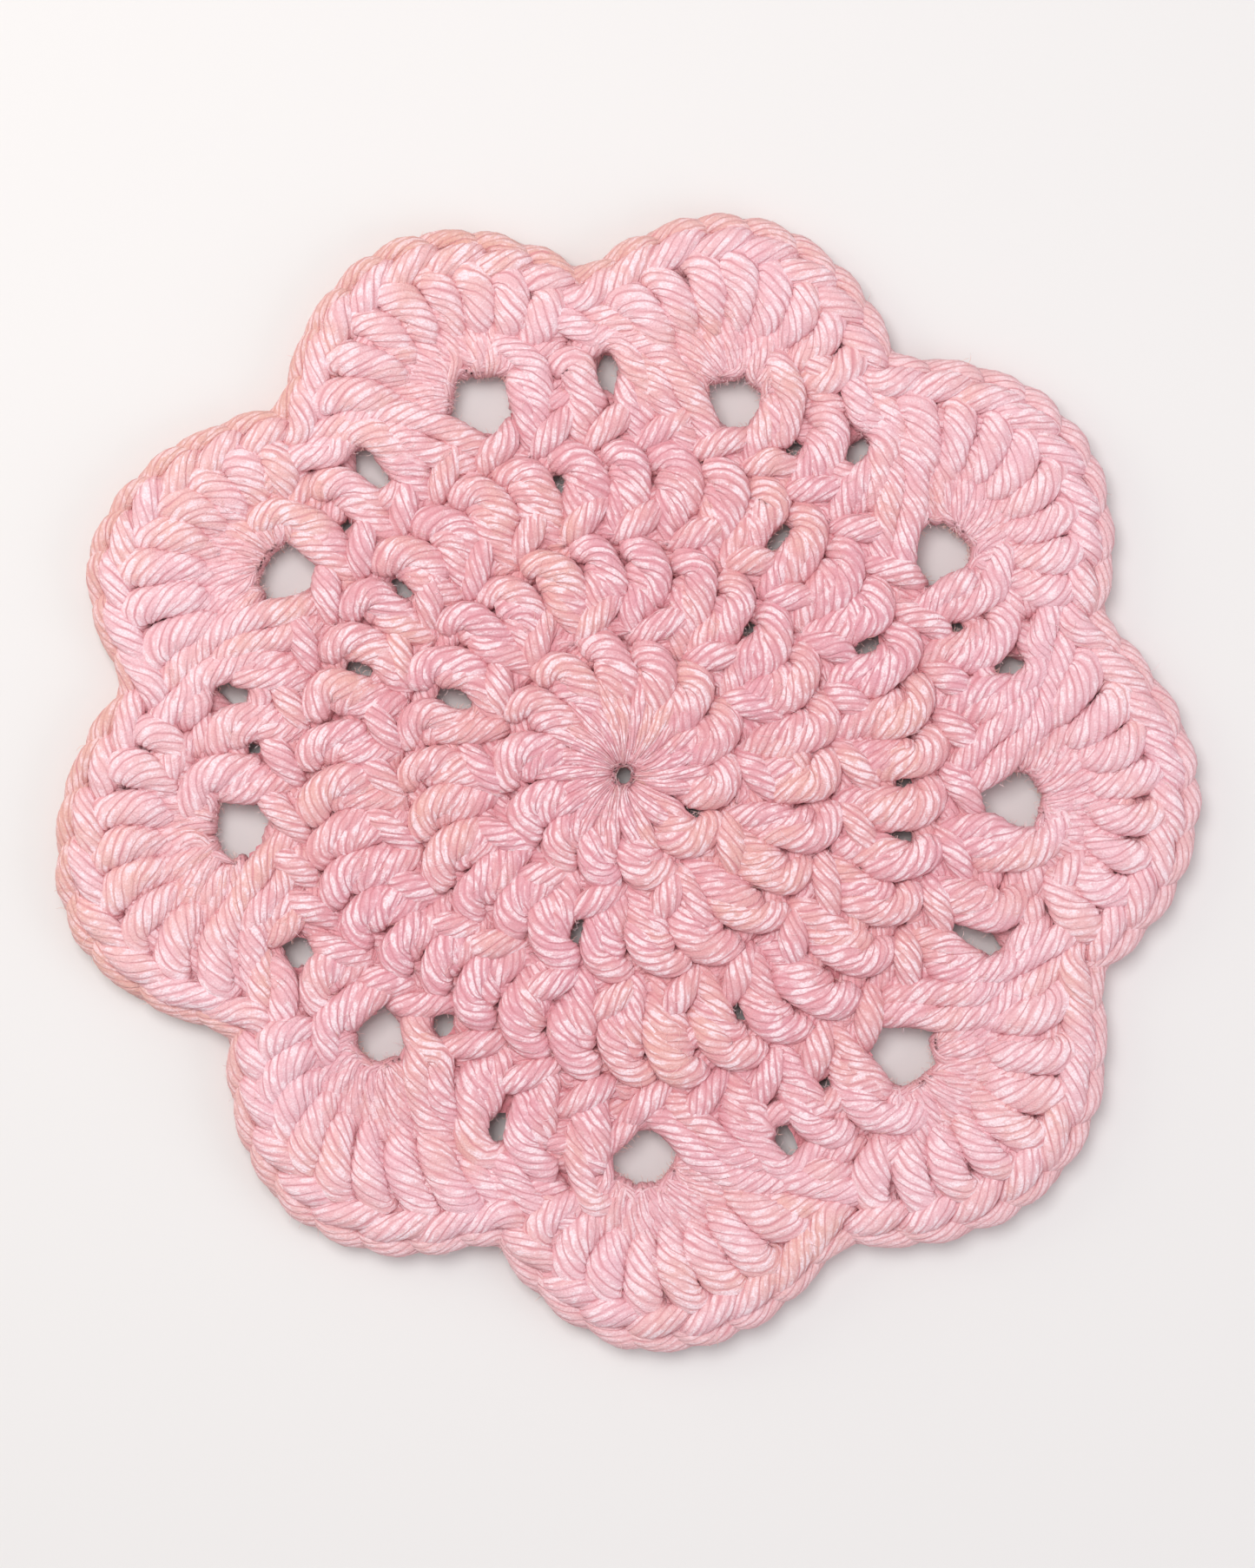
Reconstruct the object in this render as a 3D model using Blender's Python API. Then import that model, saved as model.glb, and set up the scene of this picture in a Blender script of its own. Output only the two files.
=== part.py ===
"""Crochet coaster: a flat round mat of double crochet with nine shell petals.

Four rounds of posts grow from a tight ring, the fourth in pairs about nine chain spaces, and a shell
fans out of each space to make a petal. The mat is one closed solid: a flat underside, a wavy rim, and
a top whose points are raised by the strands of every stitch. Metres, +Z up, the mat lies on z = 0 with
the middle of its outline box at the origin. Angles are degrees clockwise from +Y, seen from above.
"""
import math
import random
from collections import namedtuple

import bmesh
import bpy
import numpy as np
from mathutils import Vector

MM = 0.001

# One strand of yarn and the cloth that it makes, in millimetres.
STRAND_RADIUS = 1.25
CREST_HEIGHT = 4.6
GROUND_HEIGHT = 2.4
RIM_HEIGHT = 2.2
UNDER_INSET = 1.1
MIDDLE_HOLE_RADIUS = 0.8

# The grid that carries the relief, and the share of its faces kept afterwards.
COLUMNS = 540
ROWS = 74
KEPT_SHARE = 0.11
INNER_START = 0.02

# Heights of the turned profile's points before they are shaped.
TOP, SIDE, UNDER = 1.0, 0.5, 0.0
SIDE_INSET = 0.25

Petal = namedtuple("Petal", "tip_deg tip_mm notch_deg notch_mm hole_deg hole_mm hole_size_mm")
PETALS = (
    Petal(14, 60.4, 33.5, 52.6, 16.5, 41.0, 4.8),
    Petal(52.5, 60.3, 72, 53.2, 54.7, 41.0, 5.4),
    Petal(94, 60.9, 113, 54.5, 93.8, 41.4, 5.2),
    Petal(133, 62.7, 155, 54.7, 134.6, 41.7, 5.8),
    Petal(175, 61.2, 195.5, 51.0, 177.0, 40.3, 5.6),
    Petal(215.5, 58.3, 237, 49.6, 222.9, 37.7, 5.0),
    Petal(257.5, 60.9, 280.5, 53.6, 262.0, 41.1, 5.0),
    Petal(295, 61.3, 317, 53.0, 300.6, 41.4, 5.1),
    Petal(336, 61.3, 355.5, 53.4, 339.0, 42.0, 5.7),
)

# The slots between one petal's posts and the next, cut along the radius.
Gap = namedtuple("Gap", "deg distance_mm length_mm width_mm")
GAPS = (
    Gap(35.9, 42.2, 3.6, 1.8),
    Gap(74.3, 42.4, 3.4, 1.6),
    Gap(114.9, 41.5, 5.3, 1.9),
    Gap(156.1, 42.1, 4.3, 1.7),
    Gap(199.8, 39.6, 3.6, 1.6),
    Gap(241.3, 39.1, 4.2, 2.2),
    Gap(281.7, 42.7, 3.6, 1.7),
    Gap(320.3, 41.9, 5.5, 2.2),
    Gap(357.7, 42.6, 4.3, 2.1),
)

# A gap's plug has this many sides and is drawn in towards the middle of the mat.
PLUG_SIDES = 14
INWARD_NARROWING = 0.6

# Posts that stand in one stitch of the round below share a base.
Round = namedtuple("Round", "posts shared_base base_mm top_mm first_deg")
INNER_ROUNDS = (
    Round(12, 1, 1.2, 14.0, 8.0),
    Round(24, 2, 14.4, 24.9, 7.5),
    Round(36, 1, 25.3, 35.4, 0.2),
)
FOURTH_BASE_MM = 35.8
FOURTH_TOP_MM = 44.4
FOURTH_POSTS = (  # degrees from the petal's hole at the base and at the top, and half a post's width
    {"base": -15, "top": -15.2, "half": 3.7},
    {"base": -5, "top": -8.0, "half": 3.6},
    {"base": 5, "top": 8.2, "half": 3.6},
    {"base": 15, "top": 15.6, "half": 3.7},
)
SHELL_POSTS = 8
SHELL_SPREAD = 86
SHELL_TOP_INSET = 3.4
RIM_STITCHES = 9

# One post seen from the front: across in half widths, along from base to top, strand height in mm.
POST_STRANDS = {
    "arch": ((-1.1, 0.74, 2.4), (-0.55, 0.85, 3.2), (0.05, 0.8, 3.35), (0.55, 0.62, 3.3), (0.85, 0.32, 2.5)),
    "inner": ((-0.6, 0.62, 2.6), (-0.1, 0.47, 3.2), (0.45, 0.32, 3.1), (0.85, 0.22, 2.3)),
    "left_leg": ((-0.8, 0.62, 2.6), (-0.85, 0.4, 3.0), (-0.55, 0.16, 3.0), (0.05, -0.04, 2.3)),
    "right_leg": ((-0.4, 0.4, 2.6), (-0.02, 0.18, 2.9), (0.4, -0.02, 2.3)),
}
# One loop of the chain on top of a round: along in stitches, outwards and up in mm.
FRONT_LOOP = ((-0.45, -1.0, 2.6), (-0.1, -0.1, 3.3), (0.3, 0.9, 3.2), (0.6, 1.6, 2.4))
RIM_FRONT_LOOP = ((-0.35, -3.6, 2.8), (0.15, -2.9, 3.3), (0.8, -2.1, 3.2), (1.4, -1.5, 2.4))
RIM_BACK_LOOP = ((-0.2, -1.9, 2.2), (0.4, -1.25, 2.3), (1.2, -1.25, 1.9))
# The short stitch that ties a petal down at the notch: degrees from the notch, distance and height.
TIE_LOOPS = (
    ((-3.4, 49.0, 2.8), (-1.2, 47.6, 3.3), (1.2, 46.0, 3.1), (2.6, 45.0, 2.4)),
    ((-0.8, 47.6, 2.6), (1.8, 49.6, 3.2), (4.2, 50.2, 3.0), (5.6, 49.6, 2.4)),
)


def polar(degrees, radius):
    """A point of the plan, from its bearing and distance."""
    a = math.radians(degrees)
    return np.array((radius * math.sin(a), radius * math.cos(a)))


def along(degrees):
    """Unit step clockwise round the middle at a bearing."""
    a = math.radians(degrees)
    return np.array((math.cos(a), -math.sin(a)))


def outline_radius(degrees):
    """Rim distance at a bearing: a cosine arch from each petal's tip down to the notch on either side."""
    degrees = degrees % 360
    for i, petal in enumerate(PETALS):
        before = PETALS[i - 1]
        offset = (degrees - petal.tip_deg + 180) % 360 - 180
        right = (petal.notch_deg - petal.tip_deg) % 360
        left = (petal.tip_deg - before.notch_deg) % 360
        if 0 <= offset <= right:
            share, notch = offset / right, petal.notch_mm
        elif -left <= offset < 0:
            share, notch = -offset / left, before.notch_mm
        else:
            continue
        return notch + (petal.tip_mm - notch) * math.cos(share * math.pi / 2)
    raise ValueError("bearing outside every petal")


def rim_point(degrees, outward):
    """A point a little outside (or inside, negative) the rim at a bearing."""
    return polar(degrees, outline_radius(degrees) + outward)


def post_strands(base, top, base_side, top_side, shake):
    """The four front strands of one post, on the patch between its base and its top."""
    lines = []
    for points in POST_STRANDS.values():
        line = []
        for across, up, height in points:
            side = base_side + (top_side - base_side) * min(max(up, 0), 1)
            place = base + (top - base) * up + side * (across + shake.uniform(-0.05, 0.05))
            line.append((*place, height + shake.uniform(-0.12, 0.12)))
        lines.append(line)
    return lines


def inner_round_strands(shake):
    """Posts and front loops of the three plain rounds."""
    lines = []
    for ring in INNER_ROUNDS:
        pitch = 360 / ring.posts
        half = math.radians(pitch) / 2
        for k in range(ring.posts):
            at = ring.first_deg + k * pitch + shake.uniform(-0.06, 0.06) * pitch
            lean = (k % ring.shared_base - (ring.shared_base - 1) / 2) * pitch * 0.5
            side = along(at)
            lines += post_strands(
                polar(at - lean, ring.base_mm), polar(at, ring.top_mm),
                side * half * ring.base_mm, side * half * ring.top_mm, shake)
            lines.append([
                (*polar(at + (0.5 + step) * pitch, ring.top_mm + 0.9 + out), height)
                for step, out, height in FRONT_LOOP])
    return lines


def petal_strands(shake):
    """The fourth round's posts, the shell on each chain space and the chain along its rim."""
    lines = []
    for i, petal in enumerate(PETALS):
        lift = petal.hole_mm - 41.0
        for post in FOURTH_POSTS:
            base_at, top_at = petal.hole_deg + post["base"], petal.hole_deg + post["top"]
            wide = math.radians(post["half"])
            lines += post_strands(
                polar(base_at, FOURTH_BASE_MM), polar(top_at, FOURTH_TOP_MM + lift),
                along(base_at) * wide * FOURTH_BASE_MM, along(top_at) * wide * FOURTH_TOP_MM, shake)
        hole = polar(petal.hole_deg, petal.hole_mm)
        start = PETALS[i - 1].notch_deg
        span = (petal.notch_deg - start) % 360
        for k in range(SHELL_POSTS):
            share = (k + 0.5) / SHELL_POSTS
            fan = petal.hole_deg + (2 * share - 1) * SHELL_SPREAD
            at = start + span * share
            base = hole + polar(fan, petal.hole_size_mm / 2 + 0.4)
            top = rim_point(at, -SHELL_TOP_INSET)
            step = (rim_point(at + 1, -SHELL_TOP_INSET) - rim_point(at - 1, -SHELL_TOP_INSET)) / 2
            lines += post_strands(base, top, along(fan) * 0.75, step * span / SHELL_POSTS * 0.5, shake)
        for loop in TIE_LOOPS:
            lines.append([(*polar(petal.notch_deg + step, far), height) for step, far, height in loop])
        for k in range(RIM_STITCHES):
            for loop in (RIM_FRONT_LOOP, RIM_BACK_LOOP):
                lines.append([
                    (*rim_point(start + span * (k + step) / RIM_STITCHES, out), height)
                    for step, out, height in loop])
    return lines


def raise_points(points, lines):
    """Height of the cloth's top at each plan point: the highest strand over it, or the ground."""
    heights = np.full(len(points), GROUND_HEIGHT)
    for line in lines:
        line = np.array(line)
        low = line[:, :2].min(axis=0) - STRAND_RADIUS
        high = line[:, :2].max(axis=0) + STRAND_RADIUS
        near = np.nonzero(np.all((points > low) & (points < high), axis=1))[0]
        for a, b in zip(line[:-1], line[1:]):
            run = b[:2] - a[:2]
            share = np.clip((points[near] - a[:2]) @ run / max(run @ run, 1e-9), 0, 1)
            away = np.sum((points[near] - a[:2] - share[:, None] * run) ** 2, axis=1)
            dome = np.sqrt(np.maximum(STRAND_RADIUS ** 2 - away, 0))
            crest = np.where(dome > 0, a[2] + share * (b[2] - a[2]) + dome, 0)
            heights[near] = np.maximum(heights[near], crest)
    return np.minimum(heights, CREST_HEIGHT)


def turned_ring():
    """A ring of unit radius, turned from a profile whose points run out along the top and back below."""
    top = [(row / ROWS, TOP) for row in range(ROWS + 1)]
    rest = [(1.0, SIDE), (1.0, UNDER), (0.5, UNDER), (0.0, UNDER)]
    bm = bmesh.new()
    profile = [bm.verts.new((share + INNER_START, 0, level)) for share, level in top + rest]
    edges = [bm.edges.new(pair) for pair in zip(profile, profile[1:] + profile[:1])]
    bmesh.ops.spin(
        bm, geom=profile + edges, cent=Vector((0, 0, 0)), axis=Vector((0, 0, 1)),
        angle=2 * math.pi, steps=COLUMNS, use_merge=True)
    bmesh.ops.recalc_face_normals(bm, faces=bm.faces)
    mesh = bpy.data.meshes.new("coaster")
    bm.to_mesh(mesh)
    bm.free()
    return mesh


def shape_coaster(mesh):
    """Moves the ring's points to the mat's outline, its rounded rim, its relief and its flat underside."""
    points = np.empty(len(mesh.vertices) * 3, dtype=np.float32)
    mesh.vertices.foreach_get("co", points)
    points = points.reshape(-1, 3).astype(float)
    share = np.hypot(points[:, 0], points[:, 1]) - INNER_START
    bearing = np.degrees(np.arctan2(points[:, 0], points[:, 1]))
    is_top = np.isclose(points[:, 2], TOP)
    is_side = np.isclose(points[:, 2], SIDE)
    rim = np.array([outline_radius(b) for b in bearing])
    rim -= np.where(is_top, 0, np.where(is_side, SIDE_INSET, UNDER_INSET))
    radius = MIDDLE_HOLE_RADIUS + share * (rim - MIDDLE_HOLE_RADIUS)
    plan = np.column_stack((np.sin(np.radians(bearing)), np.cos(np.radians(bearing)))) * radius[:, None]
    shake = random.Random(11)
    lines = inner_round_strands(shake) + petal_strands(shake)
    heights = raise_points(plan, lines)
    edge = np.clip((1 - share) * rim / STRAND_RADIUS, 0, 1)
    rounded = RIM_HEIGHT + (heights - RIM_HEIGHT) * np.sqrt(1 - (1 - edge) ** 2)
    height = np.where(is_top, rounded, np.where(is_side, RIM_HEIGHT / 2, 0))
    middle = (plan.max(axis=0) + plan.min(axis=0)) / 2
    shaped = np.column_stack((plan - middle, height)) * MM
    mesh.vertices.foreach_set("co", shaped.astype(np.float32).ravel())
    mesh.update()
    return middle


def gap_cutters(middle, collection):
    """One object with a plug for each chain space and each slot between the posts."""
    bm = bmesh.new()
    plugs = [(p.hole_deg, p.hole_mm, p.hole_size_mm, p.hole_size_mm) for p in PETALS]
    plugs += [(g.deg, g.distance_mm, g.length_mm, g.width_mm) for g in GAPS]
    for degrees, distance, length, width in plugs:
        made = bmesh.ops.create_cone(
            bm, cap_ends=True, segments=PLUG_SIDES, radius1=0.5, radius2=0.5, depth=3 * CREST_HEIGHT * MM)
        place = (polar(degrees, distance) - middle) * MM
        outward, side = polar(degrees, 1), along(degrees)
        for vert in made["verts"]:
            narrow = 1 - INWARD_NARROWING * max(-vert.co.y, 0)
            spot = place + (outward * vert.co.y * length + side * vert.co.x * width * narrow) * MM
            vert.co.x, vert.co.y = spot
    bmesh.ops.recalc_face_normals(bm, faces=bm.faces)
    mesh = bpy.data.meshes.new("gap_cutters")
    bm.to_mesh(mesh)
    bm.free()
    cutters = bpy.data.objects.new("gap_cutters", mesh)
    cutters.display_type = "WIRE"
    cutters.hide_render = True
    collection.objects.link(cutters)
    return cutters


def yarn_material():
    """Soft pale pink cotton."""
    material = bpy.data.materials.new("pink_cotton")
    material.use_nodes = True
    shader = material.node_tree.nodes["Principled BSDF"]
    shader.inputs["Base Color"].default_value = (0.83, 0.47, 0.47, 1)
    shader.inputs["Roughness"].default_value = 0.85
    shader.inputs["Metallic"].default_value = 0.0
    material.diffuse_color = (0.83, 0.47, 0.47, 1)
    return material


def new_collection(name):
    collection = bpy.data.collections.new(name)
    bpy.context.scene.collection.children.link(collection)
    return collection


def main():
    for ob in list(bpy.data.objects):
        bpy.data.objects.remove(ob, do_unlink=True)
    parts = new_collection("crochet_coaster")
    mesh = turned_ring()
    middle = shape_coaster(mesh)
    mesh.materials.append(yarn_material())
    mesh.shade_smooth()
    coaster = bpy.data.objects.new("coaster", mesh)
    parts.objects.link(coaster)
    thin = coaster.modifiers.new("fewer faces", "DECIMATE")
    thin.ratio = KEPT_SHARE
    cut = coaster.modifiers.new("chain spaces", "BOOLEAN")
    cut.operation = "DIFFERENCE"
    cut.solver = "EXACT"
    cut.object = gap_cutters(middle, new_collection("cutters"))


main()
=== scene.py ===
import math
import random

import bmesh
import bpy
import numpy as np
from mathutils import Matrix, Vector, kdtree


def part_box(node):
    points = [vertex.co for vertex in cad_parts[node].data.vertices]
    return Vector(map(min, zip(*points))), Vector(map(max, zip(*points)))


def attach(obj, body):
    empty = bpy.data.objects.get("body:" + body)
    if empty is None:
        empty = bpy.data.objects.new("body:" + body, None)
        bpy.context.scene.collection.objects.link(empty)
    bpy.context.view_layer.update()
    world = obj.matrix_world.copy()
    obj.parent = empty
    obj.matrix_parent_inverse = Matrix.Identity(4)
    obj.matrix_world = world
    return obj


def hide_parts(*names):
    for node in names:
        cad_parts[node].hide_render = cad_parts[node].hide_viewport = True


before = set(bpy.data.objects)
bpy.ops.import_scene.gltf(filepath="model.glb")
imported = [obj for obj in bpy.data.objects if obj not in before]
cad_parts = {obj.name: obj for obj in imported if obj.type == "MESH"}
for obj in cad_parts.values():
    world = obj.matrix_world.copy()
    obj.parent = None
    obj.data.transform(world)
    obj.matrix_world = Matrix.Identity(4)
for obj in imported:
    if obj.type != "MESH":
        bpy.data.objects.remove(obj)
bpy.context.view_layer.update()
mm = 0.001
coasterNode = "coaster"

# The photographed frame: its size in pixels, the scale, and the pixel of the centre ring.
photo = {"width": 1445, "height": 1806, "mmPerPixel": 0.0916, "ringPixel": (718, 892)}

yarn = {
    "plies": 9,
    "grooveDepth": 0.07,        # between two plies, as a share of the radius
    "twistLength": 10.5,        # one full turn of a ply
    "frontStep": 0.72,          # between two rings of points along a strand
    "backStep": 1.2,
    "underStep": 1.6,
    "fewestRings": 4,
    "curveSteps": 8,            # between two given points, before the rings are spread evenly
    "up": 1.25,                 # half height of a strand
    "clothThickness": 4.6,
    "squeeze": 1.15,            # a strand in a narrow place takes at most this much of its half width
    "thinnest": 0.34,
    "clearShare": 0.92,         # the share of its half width that a strand keeps from an opening
    "clearShake": 0.1,
    "sideShake": 0.11,          # seeded unevenness: in half widths, along the post, in height and in radius
    "alongShake": 0.03,
    "heightShake": 0.2,
    "radiusShake": 0.1,
    "seed": 23,
    "swellShare": 0.07,         # a strand is uneven along its length by this share, about every swellLength
    "swellLength": 6.0,
    "tipLength": 0.8,           # a strand's hidden end rounds off over this length
    "tipBlunt": 0.02,           # starting from this share of it, so that it isn't a point
    "clearPasses": 2,           # how often a strand is moved clear of the openings and smoothed
    "floorGap": 0.02,           # the lowest strands lie this far above the floor
}

# One petal for each chain space: the rim's tip and the notch after it, and the hole's corners.
petals = [
    {"tip": 14, "tipReach": 60.4, "notch": 33.5, "notchReach": 52.6, "hole": [
        (12.5, 41.9), (16.9, 43.3), (19.8, 42.6), (19.9, 40.1), (18.7, 38.9), (16.5, 38.5), (14.7, 39.5)]},
    {"tip": 52.5, "tipReach": 60.3, "notch": 72, "notchReach": 53.2, "hole": [
        (50.4, 40.9), (52.7, 42.9), (56.8, 43.6), (58.6, 42.3), (57.9, 39.8), (56.6, 38.1), (52.7, 38.9)]},
    {"tip": 94, "tipReach": 60.9, "notch": 113, "notchReach": 54.5, "hole": [
        (89.8, 42.3), (93.0, 43.9), (97.2, 43.4), (97.4, 41.2), (95.2, 39.6), (94.4, 38.0), (90.4, 40.9)]},
    {"tip": 133, "tipReach": 62.7, "notch": 155, "notchReach": 54.7, "hole": [
        (130.5, 41.9), (133.2, 44.7), (137.8, 44.2), (138.9, 43.1),
        (138.2, 41.0), (135.2, 38.3), (131.7, 40.3)]},
    {"tip": 175, "tipReach": 61.2, "notch": 195.5, "notchReach": 51.0, "hole": [
        (172.1, 40.5), (174.8, 42.7), (177.9, 42.9), (181.0, 41.9),
        (181.7, 40.6), (177.0, 37.6), (174.0, 38.5)]},
    {"tip": 215.5, "tipReach": 58.3, "notch": 237, "notchReach": 49.6, "hole": [
        (218.5, 37.0), (221.1, 40.1), (224.0, 40.0), (226.1, 38.6),
        (226.1, 36.1), (223.5, 35.0), (221.8, 35.8)]},
    {"tip": 257.5, "tipReach": 60.9, "notch": 280.5, "notchReach": 53.6, "hole": [
        (257.7, 42.6), (261.7, 43.2), (265.6, 42.4), (265.2, 40.9), (262.8, 37.8), (260.4, 39.6)]},
    {"tip": 295, "tipReach": 61.3, "notch": 317, "notchReach": 53.0, "hole": [
        (296.5, 41.6), (298.2, 43.4), (304.3, 43.0), (304.1, 41.0), (301.1, 38.5), (297.7, 40.0)]},
    {"tip": 336, "tipReach": 61.3, "notch": 355.5, "notchReach": 53.4, "hole": [
        (335.1, 42.2), (337.2, 45.0), (338.9, 44.4), (342.6, 43.8),
        (342.7, 41.6), (339.4, 38.5), (336.3, 40.0)]},
]

# Smaller openings: bearing, reach, length along the radius, width. First come the nine slots between petals,
# then the gaps between posts, and last the small hole in the ring.
gaps = [
    (35.9, 42.2, 3.6, 1.8), (74.3, 42.4, 3.4, 1.6), (114.9, 41.5, 4.8, 1.6),
    (156.1, 42.3, 3.5, 1.3), (199.8, 39.7, 2.8, 1.15), (241.3, 39.1, 2.8, 3.0),
    (281.9, 42.3, 4.0, 0.95), (320.3, 41.9, 5.5, 2.2), (357.7, 42.6, 4.3, 2.1),
    (294.0, 19.5, 3.7, 2.2), (196.6, 17.3, 2.1, 0.7), (40.7, 20.3, 1.1, 0.8),
    (216.0, 32.6, 2.5, 2.0), (292.0, 29.9, 2.9, 1.15), (62.0, 28.9, 2.3, 1.5),
    (33.2, 29.7, 2.9, 1.4), (310.0, 30.3, 1.7, 1.3), (102.5, 30.2, 1.9, 0.7),
    (91.7, 29.4, 1.3, 0.7), (154.0, 27.7, 1.1, 0.7), (347.7, 31.6, 1.5, 0.8),
    (27.7, 38.7, 1.2, 1.1), (274.3, 39.1, 1.2, 0.8), (66.2, 38.4, 0.9, 0.8),
    (147.0, 38.9, 1.1, 0.9), (312.2, 39.2, 0.8, 0.8), (118.5, 8.3, 0.9, 0.6),
    (183.5, 0.1, 1.3, 1.3),
]

# The strands reach over the rest of each opening.
gapFit = {"length": 0.92, "width": 0.78, "hole": 0.96, "corners": 12}

# The strands of one double crochet: across in half widths, along from base to top, height.
arch = {"across": 1.78, "line": [
    (-1.2, 0.86, 2.3), (-0.8, 0.87, 3.0), (-0.4, 0.85, 3.4), (0.0, 0.78, 3.5),
    (0.26, 0.65, 3.45), (0.38, 0.5, 3.3), (0.44, 0.37, 2.9), (0.44, 0.26, 2.1)]}
inner = {"across": 1.6, "line": [
    (-0.8, 0.68, 2.2), (-0.5, 0.64, 2.8), (-0.2, 0.55, 3.15), (0.06, 0.43, 3.2),
    (0.2, 0.31, 3.0), (0.24, 0.2, 2.5), (0.2, 0.1, 1.8)]}
leg = {"across": 1.55, "line": [
    (-0.3, 0.62, 2.4), (-0.38, 0.5, 2.9), (-0.36, 0.36, 3.05), (-0.28, 0.22, 3.0),
    (-0.14, 0.09, 2.8), (0.0, -0.03, 2.4), (0.1, -0.12, 1.7)]}
ringLegs = [  # two thin strands side by side, so the middle fans out in fine rays
    {"across": 1.0, "up": 0.85, "share": 0.66, "twist": 24, "line": [
        (-0.7, 0.62, 2.6), (-0.62, 0.48, 3.2), (-0.55, 0.3, 3.5), (-0.5, 0.1, 3.5),
        (-0.5, -0.12, 3.4), (-0.5, -0.26, 3.15), (-0.5, -0.36, 2.5), (-0.5, -0.38, 1.6), (-0.5, -0.38, 0.9)]},
    {"across": 1.0, "up": 0.85, "share": 0.66, "twist": 24, "line": [
        (0.0, 0.56, 2.6), (0.1, 0.42, 3.15), (0.3, 0.25, 3.45), (0.45, 0.08, 3.5),
        (0.5, -0.12, 3.4), (0.5, -0.26, 3.15), (0.5, -0.36, 2.5), (0.5, -0.38, 1.6), (0.5, -0.38, 0.9)]},
]
loopArch = {"across": 1.75, "line": [
    (-1.4, 0.99, 2.0), (-0.95, 0.98, 2.9), (-0.5, 0.93, 3.4), (-0.08, 0.84, 3.5),
    (0.24, 0.72, 3.5), (0.38, 0.57, 3.35), (0.44, 0.42, 3.0), (0.42, 0.28, 2.2)]}
loopLeg = {"across": 1.55, "line": [
    (-0.5, 0.7, 2.6), (-0.52, 0.54, 3.1), (-0.44, 0.38, 3.2), (-0.3, 0.22, 3.05),
    (-0.12, 0.07, 2.7), (0.0, -0.06, 2.0)]}
longArch = {"across": 1.7, "line": [
    (-2.3, 1.0, 2.4), (-1.5, 0.95, 3.1), (-0.8, 0.84, 3.45), (-0.15, 0.69, 3.5),
    (0.26, 0.52, 3.3), (0.42, 0.37, 2.9), (0.44, 0.25, 2.1)]}

# The chain on top of a round shows one short leaning loop for each stitch: along, outwards and height.
chainLoop = {"across": 1.45, "line": [
    (-3.2, -2.3, 1.4, 0.6), (-1.7, -1.3, 2.8, 0.95), (0, 0, 3.45, 1.12),
    (1.4, 1.1, 3.2, 1.02), (2.5, 1.7, 2.4, 0.8), (3.3, 2.1, 1.4, 0.6)]}

# The same on the fourth round, where it leans the other way under the shell.
topLoop = {"across": 1.5, "line": [
    (-3.2, 1.8, 1.5, 0.6), (-1.8, 1.2, 2.8, 0.95), (0, 0.3, 3.35, 1.1),
    (1.5, -0.6, 3.0, 1.0), (2.5, -1.6, 2.3, 0.8), (3.1, -2.6, 1.4, 0.6)]}

# Yarn that runs along under the stitches and shows only as a darker strand between them.
underYarn = {
    "across": 1.5,
    "up": 1.1,
    "height": 2.3,
    "wave": 0.5,
    "every": 4.0,        # between two points of its course
    "planStep": 1.0,
    "clearShare": 0.7,   # it breaks off this share of its half width from an opening
}

# The three plain rounds: the bearings between posts, the reach of their tops at some bearings, how far each
# foot stands to one side of its post, the chain loops' shift, and the strands of each post.
plainRounds = [
    {
        "piece": "centreRound",
        "splits": [7, 30, 54, 82.5, 115, 153, 185, 211, 235, 265, 298, 320, 343.5],
        "tops": [
            (0, 15.4), (20, 14.3), (45, 14.1), (70, 13.5), (100, 12.1), (135, 11.7), (170, 12.3),
            (200, 11.9), (225, 12.1), (250, 12.7), (280, 13.7), (310, 14.8), (335, 15.3)],
        "footShifts": [0],
        "firstShift": 0,
        "chainShift": 7,
        "coils": [arch, inner, *ringLegs],
    },
    {
        "piece": "secondRound",
        "splits": [
            0.7, 14.2, 27.4, 40.9, 54.7, 69.2, 84.6, 99.5, 115.5, 130.9, 146.9, 162.3, 179,
            196.1, 214, 225.3, 239, 253.4, 266.5, 278.3, 294.3, 309.3, 321.6, 335.1, 348.3],
        "tops": [
            (5, 25.2), (18, 25.0), (45, 24.4), (73, 23.6), (92, 22.7), (105, 24.1), (120, 22.8),
            (138, 23.4), (152, 22.8), (170, 22.1), (186, 22.1), (203, 21.7), (218, 20.8),
            (236, 23.7), (258, 23.5), (272, 24.1), (297, 24.9), (312, 26.0), (325, 25.1), (352, 25.7)],
        "footShifts": [4, -5],
        "firstShift": 1,
        "chainShift": 3,
        "coils": [arch, inner, leg],
    },
    {
        "piece": "thirdRound",
        "splits": [
            356.9, 5.8, 15.7, 24.5, 33.3, 43.4, 52.2, 61.9, 72.5, 82.2, 91.5, 102.4, 111.6,
            122.4, 133.7, 143.9, 153.7, 165.3, 175.5, 185.8, 196.7, 208.5, 220, 228, 236.9,
            246, 253.7, 262.2, 271.7, 281.3, 291.4, 300.6, 310.2, 320, 328.7, 337.6, 347.9],
        "tops": [
            (0, 35.2), (30, 34.9), (45, 34.5), (60, 34.0), (104, 34.2), (125, 34.2), (135, 34.8),
            (145, 33.9), (168, 33.6), (178, 33.2), (190, 32.4), (202, 31.2), (212, 31.0), (224, 30.6),
            (240, 34.1), (252, 34.5), (283, 34.5), (303, 35.1), (322, 34.9), (330, 35.4), (349, 35.4)],
        "footShifts": [-0.5, 1.2, -3.5],
        "firstShift": 2,
        "chainShift": 0.7,
        "coils": [arch, inner, leg],
    },
]
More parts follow.
